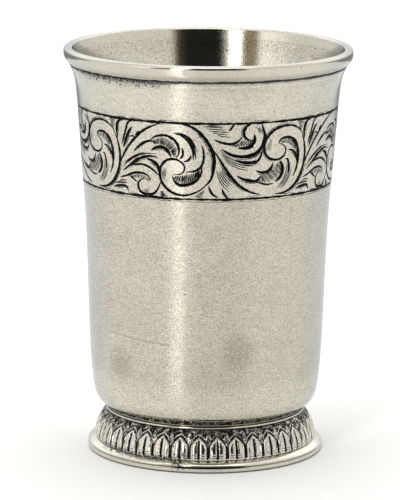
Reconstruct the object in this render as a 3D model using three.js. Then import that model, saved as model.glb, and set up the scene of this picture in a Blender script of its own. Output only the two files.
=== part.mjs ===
// Pewter tumbler: a soldered cup with a moulded lip, standing on a cast foot with a border of leaves.
// Millimetres, +Z up. The origin is the middle of the underside, and the front faces -Y.
import * as THREE from 'three';

// Heights of the stacked pieces, from the table up
const HEIGHT = 115;
const BASE_HEIGHT = 3.05;
const LEAF_HEIGHT = 8.25;
const NECK_HEIGHT = 0.7;
const RIM_HEIGHT = 4.7;

// Outside of the wall: radii at its stations, and where the stations lie
const NECK_RADIUS = 28.1;
const HEEL_RADIUS = 32.5;
const HEEL_RISE = 11.6;
const BELT_LOW_RADIUS = 35.15;
const BELT_TOP_RADIUS = 36.7;
const BELT_HEIGHT = 21.1;
const BELT_DROP = 11.6;
const THROAT_RADIUS = 39.1;

// Slopes of the outside at its stations, in run per rise
const NECK_SLOPE = 0.98;
const HEEL_SLOPE = 0.085;
const BELT_SLOPE = 0.09;
const THROAT_SLOPE = 0.52;

// How full each stretch is: the handles at its lower and upper end, as shares of its rise
const HEEL_HANDLES = [0.23, 0.81];
const BODY_HANDLES = [0.25, 0.35];
const THROAT_HANDLES = [0.44, 0.32];
const UNDERCUT_HANDLES = [0.5, 0.4];

// Cut lines along both edges of the engraved belt
const BORDER_WIDTH = 0.7;
const BORDER_DEPTH = 0.3;

// Thicknesses, and the lip turned in under the cup
const WALL = 1.6;
const LIP_WIDTH = 3.4;
const FLOOR = 1.8;
const FLOOR_DISH = 0.6;

// Lip moulding, measured outwards or inwards from the throat
const LIP_OVERHANG = 1.55;
const LIP_CREST = 0.2;
const LIP_INSET = 0.95;
const LIP_ROUND = 0.9;
const LIP_INNER_ROUND = 0.7;
const LIP_UNDERCUT_SLOPE = 0.9;
const RIM_STEP = 0.5;
const TONGUE_HEIGHT = 1.7;

// Foot: plain base moulding, leaf ring and fillet wire
const BASE_RADIUS = 33.45;
const BASE_EDGE = 0.3;
const BASE_BAND = 1.35;
const BASE_GROOVE_WIDTH = 0.4;
const BASE_GROOVE_DEPTH = 0.25;
const BASE_BEAD = 1.3;
const BEAD_EDGE = 0.35;
const BASE_WIDTH = 5;
const LEAF_SETBACK = 2.5;
const LEAF_LANDING = 2.05;
const LEAF_TOP_RADIUS = 27.8;
const LEAF_WALL = 1.4;
const LEAF_DOME = 0.75;
const NECK_OVERHANG = 0.3;
const NECK_WIDTH = 2.75;

// Leaves: a pointed arch with two lobes, and a dart in each gap between the arches
const LEAF_COUNT = 36;
const LEAF_TURN = THREE.MathUtils.degToRad(6.7);
const LEAF_GAP = 0.75;
const LEAF_RELIEF = 0.5;
const LEAF_SPRING = 3.85;
const LEAF_TIP = 6.6;
const LEAF_TIP_WIDTH = 0.45;
const ARCH_POWER = 1.7;
const DART_START = 2.5;
const DART_TIP = 6.4;
const DART_RELIEF = 0.35;

// Solder, and the clearances that it runs into
const SEAM = 0.3;
const RIM_CLEARANCE = 0.15;
const SEAM_CLEARANCE = 0.2;
const FILLET = 1.2;

// Fineness of the round pieces
const TURN_STEPS = 48;
const CURVE_STEPS = 5;
const ROUND_STEPS = 3;

const pewter = new THREE.MeshStandardMaterial({ color: 0xc8c3b6, roughness: 0.34, metalness: 1 });
const castPewter = new THREE.MeshStandardMaterial({ color: 0xa8a398, roughness: 0.4, metalness: 1 });
const solder = new THREE.MeshStandardMaterial({ color: 0x9b9a95, roughness: 0.5, metalness: 1 });

const leafLow = BASE_HEIGHT;
const leafHigh = leafLow + LEAF_HEIGHT;
const footTop = leafHigh + NECK_HEIGHT;
const wallTop = HEIGHT - RIM_HEIGHT;
const beltTop = wallTop - BELT_DROP;
const beltLow = beltTop - BELT_HEIGHT;

const at = (radius, height) => new THREE.Vector2(radius, height);
const mix = THREE.MathUtils.lerp;

// Lathes turn about Y, and the tumbler stands along Z
function standing(name, geometry, material) {
  geometry.rotateX(Math.PI / 2);
  const mesh = new THREE.Mesh(geometry, material);
  mesh.name = name;
  return mesh;
}

// A closed ring turned from the outline of its section
function turned(name, outline, material) {
  const geometry = new THREE.LatheGeometry([...outline, outline[0]], TURN_STEPS);
  return standing(name, geometry, material);
}

// A smooth stretch between two points, whose handles run along the slope at each end
function stretch(start, startSlope, end, endSlope, handles) {
  const leave = handles[0] * (end.y - start.y);
  const arrive = handles[1] * (end.y - start.y);
  const first = at(start.x + startSlope * leave, start.y + leave);
  const second = at(end.x - endSlope * arrive, end.y - arrive);
  return new THREE.CubicBezierCurve(start, first, second, end);
}

// A quarter of an ellipse about a centre, from one angle to another
function quarter(centre, run, rise, from, to) {
  return new THREE.EllipseCurve(centre.x, centre.y, run, rise, from, to).getPoints(ROUND_STEPS);
}

// The radius of a line of points, listed upwards, at a height
function radiusAt(line, height) {
  const above = Math.max(1, line.findIndex((point) => point.y >= height));
  const [low, high] = [line[above - 1], line[above]];
  return mix(low.x, high.x, (height - low.y) / (high.y - low.y));
}

// Outside of the wall, as the stretches that it is spun to
const neck = at(NECK_RADIUS, footTop);
const heel = at(HEEL_RADIUS, footTop + HEEL_RISE);
const beltFoot = at(BELT_LOW_RADIUS, beltLow);
const beltHead = at(BELT_TOP_RADIUS, beltTop);
const throat = at(THROAT_RADIUS, wallTop);
const heelCurve = stretch(neck, NECK_SLOPE, heel, HEEL_SLOPE, HEEL_HANDLES);
const bodyCurve = stretch(heel, HEEL_SLOPE, beltFoot, BELT_SLOPE, BODY_HANDLES);
const throatCurve = stretch(beltHead, BELT_SLOPE, throat, THROAT_SLOPE, THROAT_HANDLES);

// Points one wall thickness inside a stretch
function insideOf(curve) {
  const points = [];
  for (let step = 0; step <= CURVE_STEPS; step += 1) {
    const point = curve.getPoint(step / CURVE_STEPS);
    const along = curve.getTangent(step / CURVE_STEPS);
    points.push(at(point.x - WALL * along.y, point.y + WALL * along.x));
  }
  return points;
}

// A cut line across the belt's edge: its two lips and its bottom
function borderCut(height) {
  const half = BORDER_WIDTH / 2;
  const surface = (level) => mix(BELT_LOW_RADIUS, BELT_TOP_RADIUS, (level - beltLow) / BELT_HEIGHT);
  return [
    at(surface(height - half), height - half),
    at(surface(height) - BORDER_DEPTH, height),
    at(surface(height + half), height + half),
  ];
}

const lipTop = footTop + WALL;
const lipBore = NECK_RADIUS - LIP_WIDTH;
const throatInside = insideOf(throatCurve);
const insideLine = [...insideOf(heelCurve), ...insideOf(bodyCurve).slice(1), ...throatInside];
const lipCorner = at(radiusAt(insideLine, lipTop), lipTop);

// The wall's top edge is a tongue that runs up into the lip moulding's channel
const tongueTop = wallTop + TONGUE_HEIGHT;
const tongueRadius = THROAT_RADIUS - RIM_STEP;
const mouthEdge = at(THROAT_RADIUS - LIP_INSET, HEIGHT - LIP_INNER_ROUND);
const mouthLine = [throatInside.at(-1), mouthEdge];

function cupWall() {
  const outside = [
    ...heelCurve.getPoints(CURVE_STEPS),
    ...bodyCurve.getPoints(CURVE_STEPS).slice(1, -1),
    ...borderCut(beltLow),
    ...borderCut(beltTop),
    ...throatCurve.getPoints(CURVE_STEPS).slice(1),
  ];
  const tongue = [
    at(tongueRadius, wallTop),
    at(tongueRadius, tongueTop),
    at(radiusAt(mouthLine, tongueTop), tongueTop),
  ];
  const inside = insideLine.filter((point) => point.y > lipTop).reverse();
  const lip = [lipCorner, at(lipBore, lipTop), at(lipBore, footTop)];
  return turned('cup_wall', [...outside, ...tongue, ...inside, ...lip], pewter);
}

// The floor lies on the turned-in lip, its edge sloped to the wall and its middle a little raised
const floorTop = lipTop + FLOOR;
const floorEdge = at(radiusAt(insideLine, floorTop) - SEAM_CLEARANCE, floorTop);

function cupFloor() {
  const outline = [
    at(0, lipTop + FLOOR_DISH),
    at(lipBore - SEAM_CLEARANCE, lipTop),
    at(lipCorner.x - SEAM_CLEARANCE, lipTop),
    floorEdge,
    at(0, floorTop + FLOOR_DISH),
  ];
  return standing('cup_floor', new THREE.LatheGeometry(outline, TURN_STEPS), pewter);
}

function floorSolder() {
  const inner = floorEdge.x - FILLET;
  const innerEdge = at(inner, floorTop + FLOOR_DISH * (1 - inner / floorEdge.x));
  const wallEdge = at(radiusAt(insideLine, floorTop + FILLET) - SEAM_CLEARANCE, floorTop + FILLET);
  return turned('floor_solder', [innerEdge, floorEdge, wallEdge], solder);
}

// The lip moulding: rounded over the top, undercut towards the seam, with a channel for the wall's tongue
function rimWire() {
  const low = at(THROAT_RADIUS + RIM_CLEARANCE, wallTop + SEAM);
  const widest = at(THROAT_RADIUS + LIP_OVERHANG, HEIGHT - LIP_ROUND);
  const undercut = stretch(low, LIP_UNDERCUT_SLOPE, widest, 0, UNDERCUT_HANDLES).getPoints(CURVE_STEPS);
  const crestRadius = THROAT_RADIUS + LIP_CREST;
  const outerCentre = at(crestRadius, HEIGHT - LIP_ROUND);
  const innerCentre = at(crestRadius, HEIGHT - LIP_INNER_ROUND);
  const outerRound = quarter(outerCentre, LIP_OVERHANG - LIP_CREST, LIP_ROUND, 0, Math.PI / 2);
  const innerRound = quarter(innerCentre, LIP_CREST + LIP_INSET, LIP_INNER_ROUND, Math.PI / 2, Math.PI);
  const roof = tongueTop + SEAM;
  const channelRadius = tongueRadius + RIM_CLEARANCE;
  const channel = [at(radiusAt(mouthLine, roof), roof), at(channelRadius, roof), at(channelRadius, low.y)];
  const outline = [...undercut, ...outerRound.slice(1), ...innerRound.slice(1), ...channel];
  return turned('rim_wire', outline, pewter);
}

function rimSolder() {
  const bore = radiusAt(mouthLine, tongueTop + SEAM);
  const outline = [
    at(bore, tongueTop),
    at(tongueRadius, tongueTop),
    at(tongueRadius, tongueTop + SEAM),
    at(bore, tongueTop + SEAM),
  ];
  return turned('rim_solder', outline, solder);
}

// Plain moulding that the tumbler stands on: a band, a fine groove and a bead that slopes in to the leaves
const baseBore = BASE_RADIUS - BASE_WIDTH;
const leafFoot = BASE_RADIUS - LEAF_SETBACK;
const leafTopBore = LEAF_TOP_RADIUS - LEAF_WALL;
const leafBore = Math.min(baseBore - LEAF_LANDING, leafTopBore);

function baseRing() {
  const beadLow = BASE_BAND + BASE_GROOVE_WIDTH;
  const edge = quarter(at(BASE_RADIUS - BASE_EDGE, BASE_EDGE), BASE_EDGE, BASE_EDGE, -Math.PI / 2, 0);
  const bead = [
    at(BASE_RADIUS, beadLow),
    at(BASE_RADIUS - BEAD_EDGE, beadLow + BEAD_EDGE),
    at(BASE_RADIUS - BASE_BEAD, BASE_HEIGHT),
  ];
  const outline = [
    at(baseBore, 0),
    ...edge,
    at(BASE_RADIUS, BASE_BAND),
    at(BASE_RADIUS - BASE_GROOVE_DEPTH, BASE_BAND + BASE_GROOVE_WIDTH / 2),
    ...bead,
    at(baseBore, BASE_HEIGHT),
  ];
  return turned('base_ring', outline, pewter);
}

function baseSolder() {
  const outer = baseBore - SEAM_CLEARANCE;
  const outline = [at(outer, leafLow), at(outer - FILLET, leafLow), at(outer, leafLow - FILLET)];
  return turned('base_solder', outline, solder);
}

// Rows of the leaf ring, as heights above its foot: the straight sides, the arch, and the plain top
function leafRows() {
  const archShares = [0.4, 0.75, 1];
  const arch = archShares.map((share) => mix(LEAF_SPRING, LEAF_TIP, share));
  return [0, DART_START / 2, DART_START, LEAF_SPRING, ...arch, (LEAF_TIP + LEAF_HEIGHT) / 2, LEAF_HEIGHT];
}

// Ground of the ring behind the leaves: nearly upright at its foot, it domes over towards the cup
function leafGround(height) {
  const share = height / LEAF_HEIGHT;
  return mix(LEAF_TOP_RADIUS, leafFoot, Math.max(Math.cos(share * Math.PI / 2), 0) ** LEAF_DOME);
}

// Half of a leaf's width, as an angle: straight sides up to the spring, then a pointed arch
function leafHalfAngle(height) {
  const full = Math.PI / LEAF_COUNT - LEAF_GAP / (2 * leafFoot);
  const tip = LEAF_TIP_WIDTH / (2 * leafFoot);
  const climb = THREE.MathUtils.clamp((height - LEAF_SPRING) / (LEAF_TIP - LEAF_SPRING), 0, 1);
  return mix(full, tip, climb ** ARCH_POWER);
}

function dartRelief(height) {
  const share = THREE.MathUtils.clamp((height - DART_START) / (DART_TIP - DART_START), 0, 1);
  return DART_RELIEF * Math.sin(share * Math.PI);
}

// Steps across one leaf: 0 is its middle, 1 its edge and 2 the middle of the gap, with the relief of each
const LEAF_STEPS = [
  { reach: -2, leaf: 0, dart: 1 },
  { reach: -1.35, leaf: 0, dart: 0 },
  { reach: -1, leaf: 0.6, dart: 0 },
  { reach: -0.5, leaf: 1, dart: 0 },
  { reach: 0, leaf: 0.3, dart: 0 },
  { reach: 0.5, leaf: 1, dart: 0 },
  { reach: 1, leaf: 0.6, dart: 0 },
  { reach: 1.35, leaf: 0, dart: 0 },
];

// The angle of a step from the middle of its leaf
function leafStepAngle(reach, height) {
  const half = leafHalfAngle(height);
  const gap = Math.PI / LEAF_COUNT - half;
  const distance = Math.abs(reach);
  return Math.sign(reach) * (Math.min(distance, 1) * half + Math.max(distance - 1, 0) * gap);
}

// A plain ring is turned first, then each point of its face moves to its place on the leaves
function leafRing() {
  const rows = leafRows();
  const outline = [
    ...rows.map((height) => at(leafGround(height), leafLow + height)),
    at(leafTopBore, leafHigh),
    at(leafBore, leafLow),
  ];
  const turns = LEAF_COUNT * LEAF_STEPS.length;
  const geometry = new THREE.LatheGeometry([...outline, outline[0]], turns);
  const place = geometry.getAttribute('position');
  const pointsPerTurn = outline.length + 1;
  for (let index = 0; index < place.count; index += 1) {
    const row = (index % pointsPerTurn) % outline.length;
    const turn = Math.floor(index / pointsPerTurn) % turns;
    const step = LEAF_STEPS[turn % LEAF_STEPS.length];
    const leaf = Math.floor(turn / LEAF_STEPS.length);
    const height = rows[row] ?? 0;
    const leafRelief = height < LEAF_TIP ? LEAF_RELIEF * step.leaf : 0;
    const relief = row < rows.length ? leafRelief + step.dart * dartRelief(height) : 0;
    const radius = outline[row].x + relief;
    const angle = LEAF_TURN + 2 * Math.PI * leaf / LEAF_COUNT + leafStepAngle(step.reach, height);
    place.setXYZ(index, radius * Math.sin(angle), outline[row].y, radius * Math.cos(angle));
  }
  return standing('leaf_ring', geometry, castPewter);
}

// Thin fillet wire between the leaves and the cup, with a rounded nose
const neckOuter = NECK_RADIUS + NECK_OVERHANG;
const neckBore = neckOuter - NECK_WIDTH;

function neckWire() {
  const nose = NECK_HEIGHT / 2;
  const centre = at(neckOuter - nose, leafHigh + nose);
  const lowerRound = quarter(centre, nose, nose, -Math.PI / 2, 0);
  const upperRound = quarter(centre, nose, nose, 0, Math.PI / 2);
  const outline = [at(neckBore, leafHigh), ...lowerRound, ...upperRound.slice(1), at(neckBore, footTop)];
  return turned('neck_wire', outline, pewter);
}

// The fillet under the cup is as wide as the turned-in lip leaves room for
function neckSolder() {
  const outer = neckBore - SEAM_CLEARANCE;
  const inner = Math.max(lipBore, outer - FILLET);
  return turned('neck_solder', [at(outer, footTop), at(inner, footTop), at(outer, footTop - FILLET)], solder);
}

const cup = new THREE.Group();
cup.add(cupWall(), cupFloor(), floorSolder());

const lip = new THREE.Group();
lip.add(rimWire(), rimSolder());

const foot = new THREE.Group();
foot.add(baseRing(), baseSolder(), leafRing(), neckWire(), neckSolder());

const tumbler = new THREE.Group();
tumbler.add(cup, lip, foot);

export default tumbler;
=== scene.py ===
# %% [markdown]
# # A pewter tumbler
# The tumbler is a spun cup with a thick rounded lip, an engraved belt of scrolling leaves, and a cast
# foot with a border of pointed leaves. The solids of its ten pieces come in as a frame, in metres, and
# this lesson dresses each of them: the turned rings are swept round the axis, the belt is cut into the
# wall, and the leaves are modelled once and repeated.

import math

import bpy
import numpy as np
from mathutils import Matrix, Vector
from mathutils.geometry import delaunay_2d_cdt


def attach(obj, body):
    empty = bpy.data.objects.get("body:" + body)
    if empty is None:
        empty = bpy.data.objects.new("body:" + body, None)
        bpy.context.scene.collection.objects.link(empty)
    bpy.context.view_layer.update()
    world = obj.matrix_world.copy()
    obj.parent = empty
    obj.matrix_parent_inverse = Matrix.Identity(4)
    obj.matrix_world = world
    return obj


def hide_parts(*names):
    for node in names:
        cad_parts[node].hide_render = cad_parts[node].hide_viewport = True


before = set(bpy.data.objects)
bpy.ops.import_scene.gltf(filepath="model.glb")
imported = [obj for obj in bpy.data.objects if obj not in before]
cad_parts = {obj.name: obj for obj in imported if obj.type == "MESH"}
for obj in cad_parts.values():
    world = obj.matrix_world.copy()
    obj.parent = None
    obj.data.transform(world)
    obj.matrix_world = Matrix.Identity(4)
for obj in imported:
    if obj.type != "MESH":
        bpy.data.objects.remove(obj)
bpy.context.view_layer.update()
scene = bpy.context.scene
scene.view_settings.view_transform = "Standard"
print("pieces in the frame:", ", ".join(sorted(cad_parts)))

# %% [markdown]
# ## The camera
# The photograph looks down on the tumbler by about eleven degrees, through a long lens, so the sides of
# the cup stay nearly parallel. A camera a metre away with a 250 mm lens gives the same ellipses at the
# lip and the foot. A short lens close by could fill the picture as well, but it would spread the mouth.
# The photograph was taken half a degree out of level, so the camera is rolled by as much.

# %% Camera
LENS = 250.45
SENSOR = 36
LOOKS_DOWN = 11.4
OUT_OF_LEVEL = 0.5
CAMERA_PLACE = (-0.00187, -0.9675, 0.2517)
camera_data = bpy.data.cameras.new("camera")
camera_data.lens = LENS
camera_data.sensor_width = SENSOR
camera = bpy.data.objects.new("camera", camera_data)
camera.location = CAMERA_PLACE
tilt = Matrix.Rotation(math.radians(90 - LOOKS_DOWN), 3, "X")
roll = Matrix.Rotation(math.radians(OUT_OF_LEVEL), 3, "Z")
camera.rotation_euler = (tilt @ roll).to_euler()
scene.collection.objects.link(camera)
scene.camera = camera
print("camera height above the table:", round(camera.location.z, 3), "m")

# %% [markdown]
# ## Sizes
# A turner would write the tumbler down as a few heights and radii, so the lesson does too, in
# millimetres. The points could be listed one by one instead, but then a change of height would mean a new
# list. The heights that pieces share are worked out from the others, and a mesh is scaled to metres when
# it is made.

# %% Heights and radii of the cup
MM = 0.001
HEIGHT = 115
RIM_HEIGHT = 4.7
BELT_DROP = 11.6
BELT_HEIGHT = 21.1
FOOT_TOP = 12.0
HEEL_RISE = 11.6
NECK_RADIUS = 28.1
HEEL_RADIUS = 32.5
BELT_LOW_RADIUS = 35.15
BELT_TOP_RADIUS = 36.7
THROAT_RADIUS = 39.1
WALL = 1.6
WALL_TOP = HEIGHT - RIM_HEIGHT
BELT_TOP = WALL_TOP - BELT_DROP
BELT_LOW = BELT_TOP - BELT_HEIGHT
print("belt from", round(BELT_LOW, 2), "to", round(BELT_TOP, 2), "mm above the table")

# %% Smooth stretches of the section
NECK_SLOPE = 0.98
HEEL_SLOPE = 0.085
BELT_SLOPE = 0.09
THROAT_SLOPE = 0.52


def stretch(start, start_slope, end, end_slope, handles, steps):
    """Points of a cubic curve between two (radius, height) points, with slopes in run per rise."""
    rise = end[1] - start[1]
    first = (start[0] + start_slope * handles[0] * rise, start[1] + handles[0] * rise)
    second = (end[0] - end_slope * handles[1] * rise, end[1] - handles[1] * rise)
    share = np.linspace(0, 1, steps + 1)[:, None]
    rest = 1 - share
    corners = np.array([start, first, second, end], float)
    return np.hstack([rest**3, 3 * share * rest**2, 3 * share**2 * rest, share**3]) @ corners


neck = (NECK_RADIUS, FOOT_TOP)
heel = (HEEL_RADIUS, FOOT_TOP + HEEL_RISE)
belt_foot = (BELT_LOW_RADIUS, BELT_LOW)
belt_head = (BELT_TOP_RADIUS, BELT_TOP)
throat = (THROAT_RADIUS, WALL_TOP)
heel_line = stretch(neck, NECK_SLOPE, heel, HEEL_SLOPE, handles=(0.23, 0.81), steps=28)
body_line = stretch(heel, HEEL_SLOPE, belt_foot, BELT_SLOPE, handles=(0.25, 0.35), steps=24)
throat_line = stretch(belt_head, BELT_SLOPE, throat, THROAT_SLOPE, handles=(0.44, 0.32), steps=16)
outside = np.vstack([heel_line, body_line[1:], throat_line])
print("points down the outside of the wall:", len(outside))


# %% The wall's radius at any height, and its inner face
def outside_radius(height):
    """Radius of the plain wall, before anything is cut in it."""
    return np.interp(height, outside[:, 1], outside[:, 0])


def square_to(line):
    """Directions of length 1 square to a line, on its left."""
    along = np.gradient(line, axis=0)
    along /= np.linalg.norm(along, axis=1)[:, None]
    return np.column_stack([-along[:, 1], along[:, 0]])


LIP_INSET = 0.95
LIP_INNER_ROUND = 0.7
INNER_BULGE = 0.6
FLARE_DROP = 1
INNER_SLOPE = 0.07
FLARE_SLOPE = 0.17
MOUTH_SLOPE = 0.3
mouth_edge = (THROAT_RADIUS - LIP_INSET, HEIGHT - LIP_INNER_ROUND)
plain = outside[outside[:, 1] < BELT_TOP]
inside = plain + WALL * square_to(plain)
flare_foot = (BELT_TOP_RADIUS - WALL - INNER_BULGE, BELT_TOP - FLARE_DROP)
flare = stretch(tuple(inside[-1]), INNER_SLOPE, flare_foot, FLARE_SLOPE, handles=(0.3, 0.3), steps=12)
mouth = stretch(flare_foot, FLARE_SLOPE, mouth_edge, MOUTH_SLOPE, handles=(0.4, 0.35), steps=24)
inside = np.vstack([inside, flare[1:], mouth[1:]])
print("radius of the mouth at its edge:", mouth_edge[0], "mm")

# %% [markdown]
# ## Turned pieces
# Rims, wires and mouldings are the same section all the way round. A Screw modifier could turn them. Here
# a Geometry Nodes tree sweeps a section round a circle with Curve to Mesh, which is what a lathe does.
# The number of steps and the finish are inputs of the tree, so that every turned piece of the tumbler
# uses the same one.


# %% Start a tree, and add a node to it
def new_tree(name, inputs):
    """An empty Geometry Nodes tree, the sockets of its named inputs, and those of its result."""
    tree = bpy.data.node_groups.new(name, "GeometryNodeTree")
    tree.interface.new_socket("Geometry", in_out="OUTPUT", socket_type="NodeSocketGeometry")
    for label, kind in {"Geometry": "Geometry", **inputs}.items():
        tree.interface.new_socket(label, in_out="INPUT", socket_type="NodeSocket" + kind)
    return tree, tree.nodes.new("NodeGroupInput").outputs, tree.nodes.new("NodeGroupOutput").inputs


def add_node(tree, kind, links, output=0, **settings):
    """Adds a node, sets it up, links or sets its inputs by name, and gives one of its outputs."""
    node = tree.nodes.new(kind)
    for name, value in settings.items():
        setattr(node, name, value)
    for name, source in links.items():
        if isinstance(source, bpy.types.NodeSocket):
            tree.links.new(source, node.inputs[name])
        else:
            node.inputs[name].default_value = source
    return node.outputs[output]


print("trees can be grown now")

# %% The lathe
WELD = 4e-6
PATH_RADIUS = 30


def lathe_tree():
    """Sweeps the incoming section round the axis."""
    tree, given, result = new_tree("lathe", {"Steps": "Int", "Finish": "Material"})
    section = add_node(tree, "GeometryNodeMeshToCurve", {"Mesh": given["Geometry"]})
    circle = {"Resolution": given["Steps"], "Radius": PATH_RADIUS * MM}
    path = add_node(tree, "GeometryNodeCurvePrimitiveCircle", circle)
    swept = add_node(tree, "GeometryNodeCurveToMesh", {"Curve": path, "Profile Curve": section})
    welded = add_node(tree, "GeometryNodeMergeByDistance", {"Geometry": swept, "Distance": WELD})
    real = add_node(tree, "GeometryNodeRealizeInstances", {"Geometry": welded})
    dressed = add_node(tree, "GeometryNodeSetMaterial", {"Geometry": real, "Material": given["Finish"]})
    tree.links.new(dressed, result["Geometry"])
    return tree


LATHE = lathe_tree()
print("lathe tree has", len(LATHE.nodes), "nodes")


# %% Run a tree and keep the plain mesh
def mesh_object(name, points, edges=(), faces=()):
    """A mesh object at the origin, from points in millimetres."""
    mesh = bpy.data.meshes.new(name)
    mesh.from_pydata((np.asarray(points, float) * MM).tolist(), list(edges), list(faces))
    piece = bpy.data.objects.new(name, mesh)
    scene.collection.objects.link(piece)
    return piece


def run_tree(piece, tree, values):
    """Runs a tree on the piece and leaves only the mesh that it gives."""
    modifier = piece.modifiers.new(tree.name, "NODES")
    modifier.node_group = tree
    for item in tree.interface.items_tree:
        if item.in_out == "INPUT" and item.name in values:
            modifier[item.identifier] = values[item.name]
    graph = bpy.context.evaluated_depsgraph_get()
    made = bpy.data.meshes.new_from_object(piece.evaluated_get(graph))
    piece.modifiers.remove(modifier)
    piece.data = made
    made.name = piece.name
    return piece


print("trees run on plain meshes, in millimetres")

# %% Turn a section, and shade a piece smooth
TURN_STEPS = 192


def turned(name, section, finish, closed=True, steps=TURN_STEPS):
    """A piece swept from a section listed upwards along its outside. The sweep wants it reversed."""
    corners = np.asarray(section, float)[::-1]
    points = np.column_stack([corners[:, 0] - PATH_RADIUS, -corners[:, 1], np.zeros(len(corners))])
    edges = [(index, index + 1) for index in range(len(points) - 1)]
    if closed:
        edges.append((len(points) - 1, 0))
    return run_tree(mesh_object(name, points, edges), LATHE, {"Steps": steps, "Finish": finish})


def smooth(piece, sharp_angle):
    """Shades a piece smooth, apart from edges sharper than the angle in degrees."""
    piece.data.polygons.foreach_set("use_smooth", [True] * len(piece.data.polygons))
    piece.data.set_sharp_from_angle(angle=math.radians(sharp_angle))
    print(piece.name, "has", len(piece.data.polygons), "faces")
    return piece


print("steps round a turned piece:", TURN_STEPS)

# %% [markdown]
# ## Shader sums
# Wear, brushing and dirt are sums on numbers that change over the surface. Their nodes could be added and
# linked one by one, which takes many lines for each sum. A small class wraps a socket instead, so that a
# sum can be written as Python, and one method adds any other node.


# %% Sockets that can be added and multiplied
class Signal:
    """A socket of a node tree that can be used in sums."""

    def __init__(self, tree, socket):
        self.tree = tree
        self.socket = socket

    def node(self, kind, sockets=(), output=0, **settings):
        """Adds a node, links or sets its inputs, and gives one of its outputs."""
        node = self.tree.nodes.new(kind)
        for name, value in settings.items():
            setattr(node, name, value)
        for name, value in dict(sockets).items():
            if isinstance(value, Signal):
                self.tree.links.new(value.socket, node.inputs[name])
            else:
                node.inputs[name].default_value = value
        return Signal(self.tree, node.outputs[output])

    def sum_with(self, other, operation, swapped=False):
        pair = (other, self) if swapped else (self, other)
        return self.node("ShaderNodeMath", {0: pair[0], 1: pair[1]}, operation=operation)

    def __add__(self, other):
        return self.sum_with(other, "ADD")

    def __sub__(self, other):
        return self.sum_with(other, "SUBTRACT")

    def __mul__(self, other):
        return self.sum_with(other, "MULTIPLY")

    def __truediv__(self, other):
        return self.sum_with(other, "DIVIDE")

    def __pow__(self, other):
        return self.sum_with(other, "POWER")

    def __radd__(self, other):
        return self.sum_with(other, "ADD", True)

    def __rsub__(self, other):
        return self.sum_with(other, "SUBTRACT", True)

    def __rmul__(self, other):
        return self.sum_with(other, "MULTIPLY", True)

    def __abs__(self):
        return (self**2.0) ** 0.5

    def highest(self, other):
        return self.sum_with(other, "MAXIMUM")

    def step(self, low, high):
        """0 below low, 1 above high, and smooth between them."""
        sockets = {"Value": self, "From Min": low, "From Max": high}
        return self.node("ShaderNodeMapRange", sockets, interpolation_type="SMOOTHSTEP")

    def between(self, low, high, soft):
        """1 from low to high, fading to 0 over the soft width at both ends."""
        return self.step(low - soft, low + soft) * (1 - self.step(high - soft, high + soft))


print("sockets can be added and multiplied now")

# %% Directions from a place
DEGREES = 180 / math.pi


def split(place):
    """The x, y and z of a signal that is a vector."""
    node = place.tree.nodes.new("ShaderNodeSeparateXYZ")
    place.tree.links.new(place.socket, node.inputs[0])
    return [Signal(place.tree, node.outputs[axis]) for axis in "XYZ"]


def bearing(x, y):
    """Direction round the axis in degrees, 0 at the front and rising to the right."""
    return x.sum_with(-1 * y, "ARCTAN2") * DEGREES


print("a full turn is", round(math.tau * DEGREES), "degrees")

# %% Start a finish
FRONT = (-0.02, 0.0)


class Finish:
    """A material with one Principled shader, and the coordinates that its patterns read."""

    def __init__(self, name):
        self.material = bpy.data.materials.new(name)
        self.material.use_nodes = True
        self.tree = self.material.node_tree
        self.shader = self.tree.nodes["Principled BSDF"]
        self.place = Signal(self.tree, self.tree.nodes.new("ShaderNodeTexCoord").outputs["Object"])
        self.x, self.y, self.z = split(self.place)

    def attribute(self, name):
        return self.place.node("ShaderNodeAttribute", output=2, attribute_name=name)

    def front(self):
        """1 on the front of the tumbler, and 0 on its back."""
        return 1 - self.y.step(*FRONT)

    def radius(self):
        """Distance from the axis."""
        return (self.x**2.0 + self.y**2.0) ** 0.5

    def distance_to(self, centre):
        sockets = {0: self.place, 1: centre}
        return self.place.node("ShaderNodeVectorMath", sockets, 1, operation="DISTANCE")

    def noise(self, scale, detail=2.0, roughness=0.5):
        """A soft random pattern from 0 to 1. Its scale is in cells per metre, one or three of them."""
        place = self.place
        if not isinstance(scale, float):
            place = place.node("ShaderNodeMapping", {"Vector": place, "Scale": scale})
            scale = 1.0
        sockets = {"Vector": place, "Scale": scale, "Detail": detail, "Roughness": roughness}
        return self.place.node("ShaderNodeTexNoise", sockets)

    def pits(self, spacing, size, share):
        """Round spots of a size, in metres, on a share of the cells of a grid."""
        sockets = {"Vector": self.place, "Scale": 1 / spacing, "Randomness": 1.0}
        distance = self.place.node("ShaderNodeTexVoronoi", sockets)
        chance = self.place.node("ShaderNodeTexVoronoi", sockets, output=1)
        chosen = self.place.node("ShaderNodeSeparateColor", {"Color": chance})
        reach = size / spacing
        return (1 - distance.step(reach * 0.5, reach)) * (1 - chosen.step(share, share + 0.01))

    def colour(self, factor, low, high):
        """Mixes two colours, or signals, by a factor."""
        sockets = {0: factor}
        for index, value in ((6, low), (7, high)):
            sockets[index] = value if isinstance(value, Signal) else (*value, 1.0)
        return self.place.node("ShaderNodeMix", sockets, output=2, data_type="RGBA")

    def bump(self, height, distance):
        """A Bump node on a height from 0 to 1 that stands for a distance in metres."""
        sockets = {"Height": height, "Distance": distance, "Strength": 1.0}
        return self.place.node("ShaderNodeBump", sockets)

    def feed(self, **signals):
        """Links signals, or sets plain values, on the shader's sockets."""
        for name, value in signals.items():
            socket = self.shader.inputs[name.replace("_", " ")]
            if isinstance(value, Signal):
                self.tree.links.new(value.socket, socket)
            else:
                socket.default_value = value
        return self.material


print("finishes can be mixed now")

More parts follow.
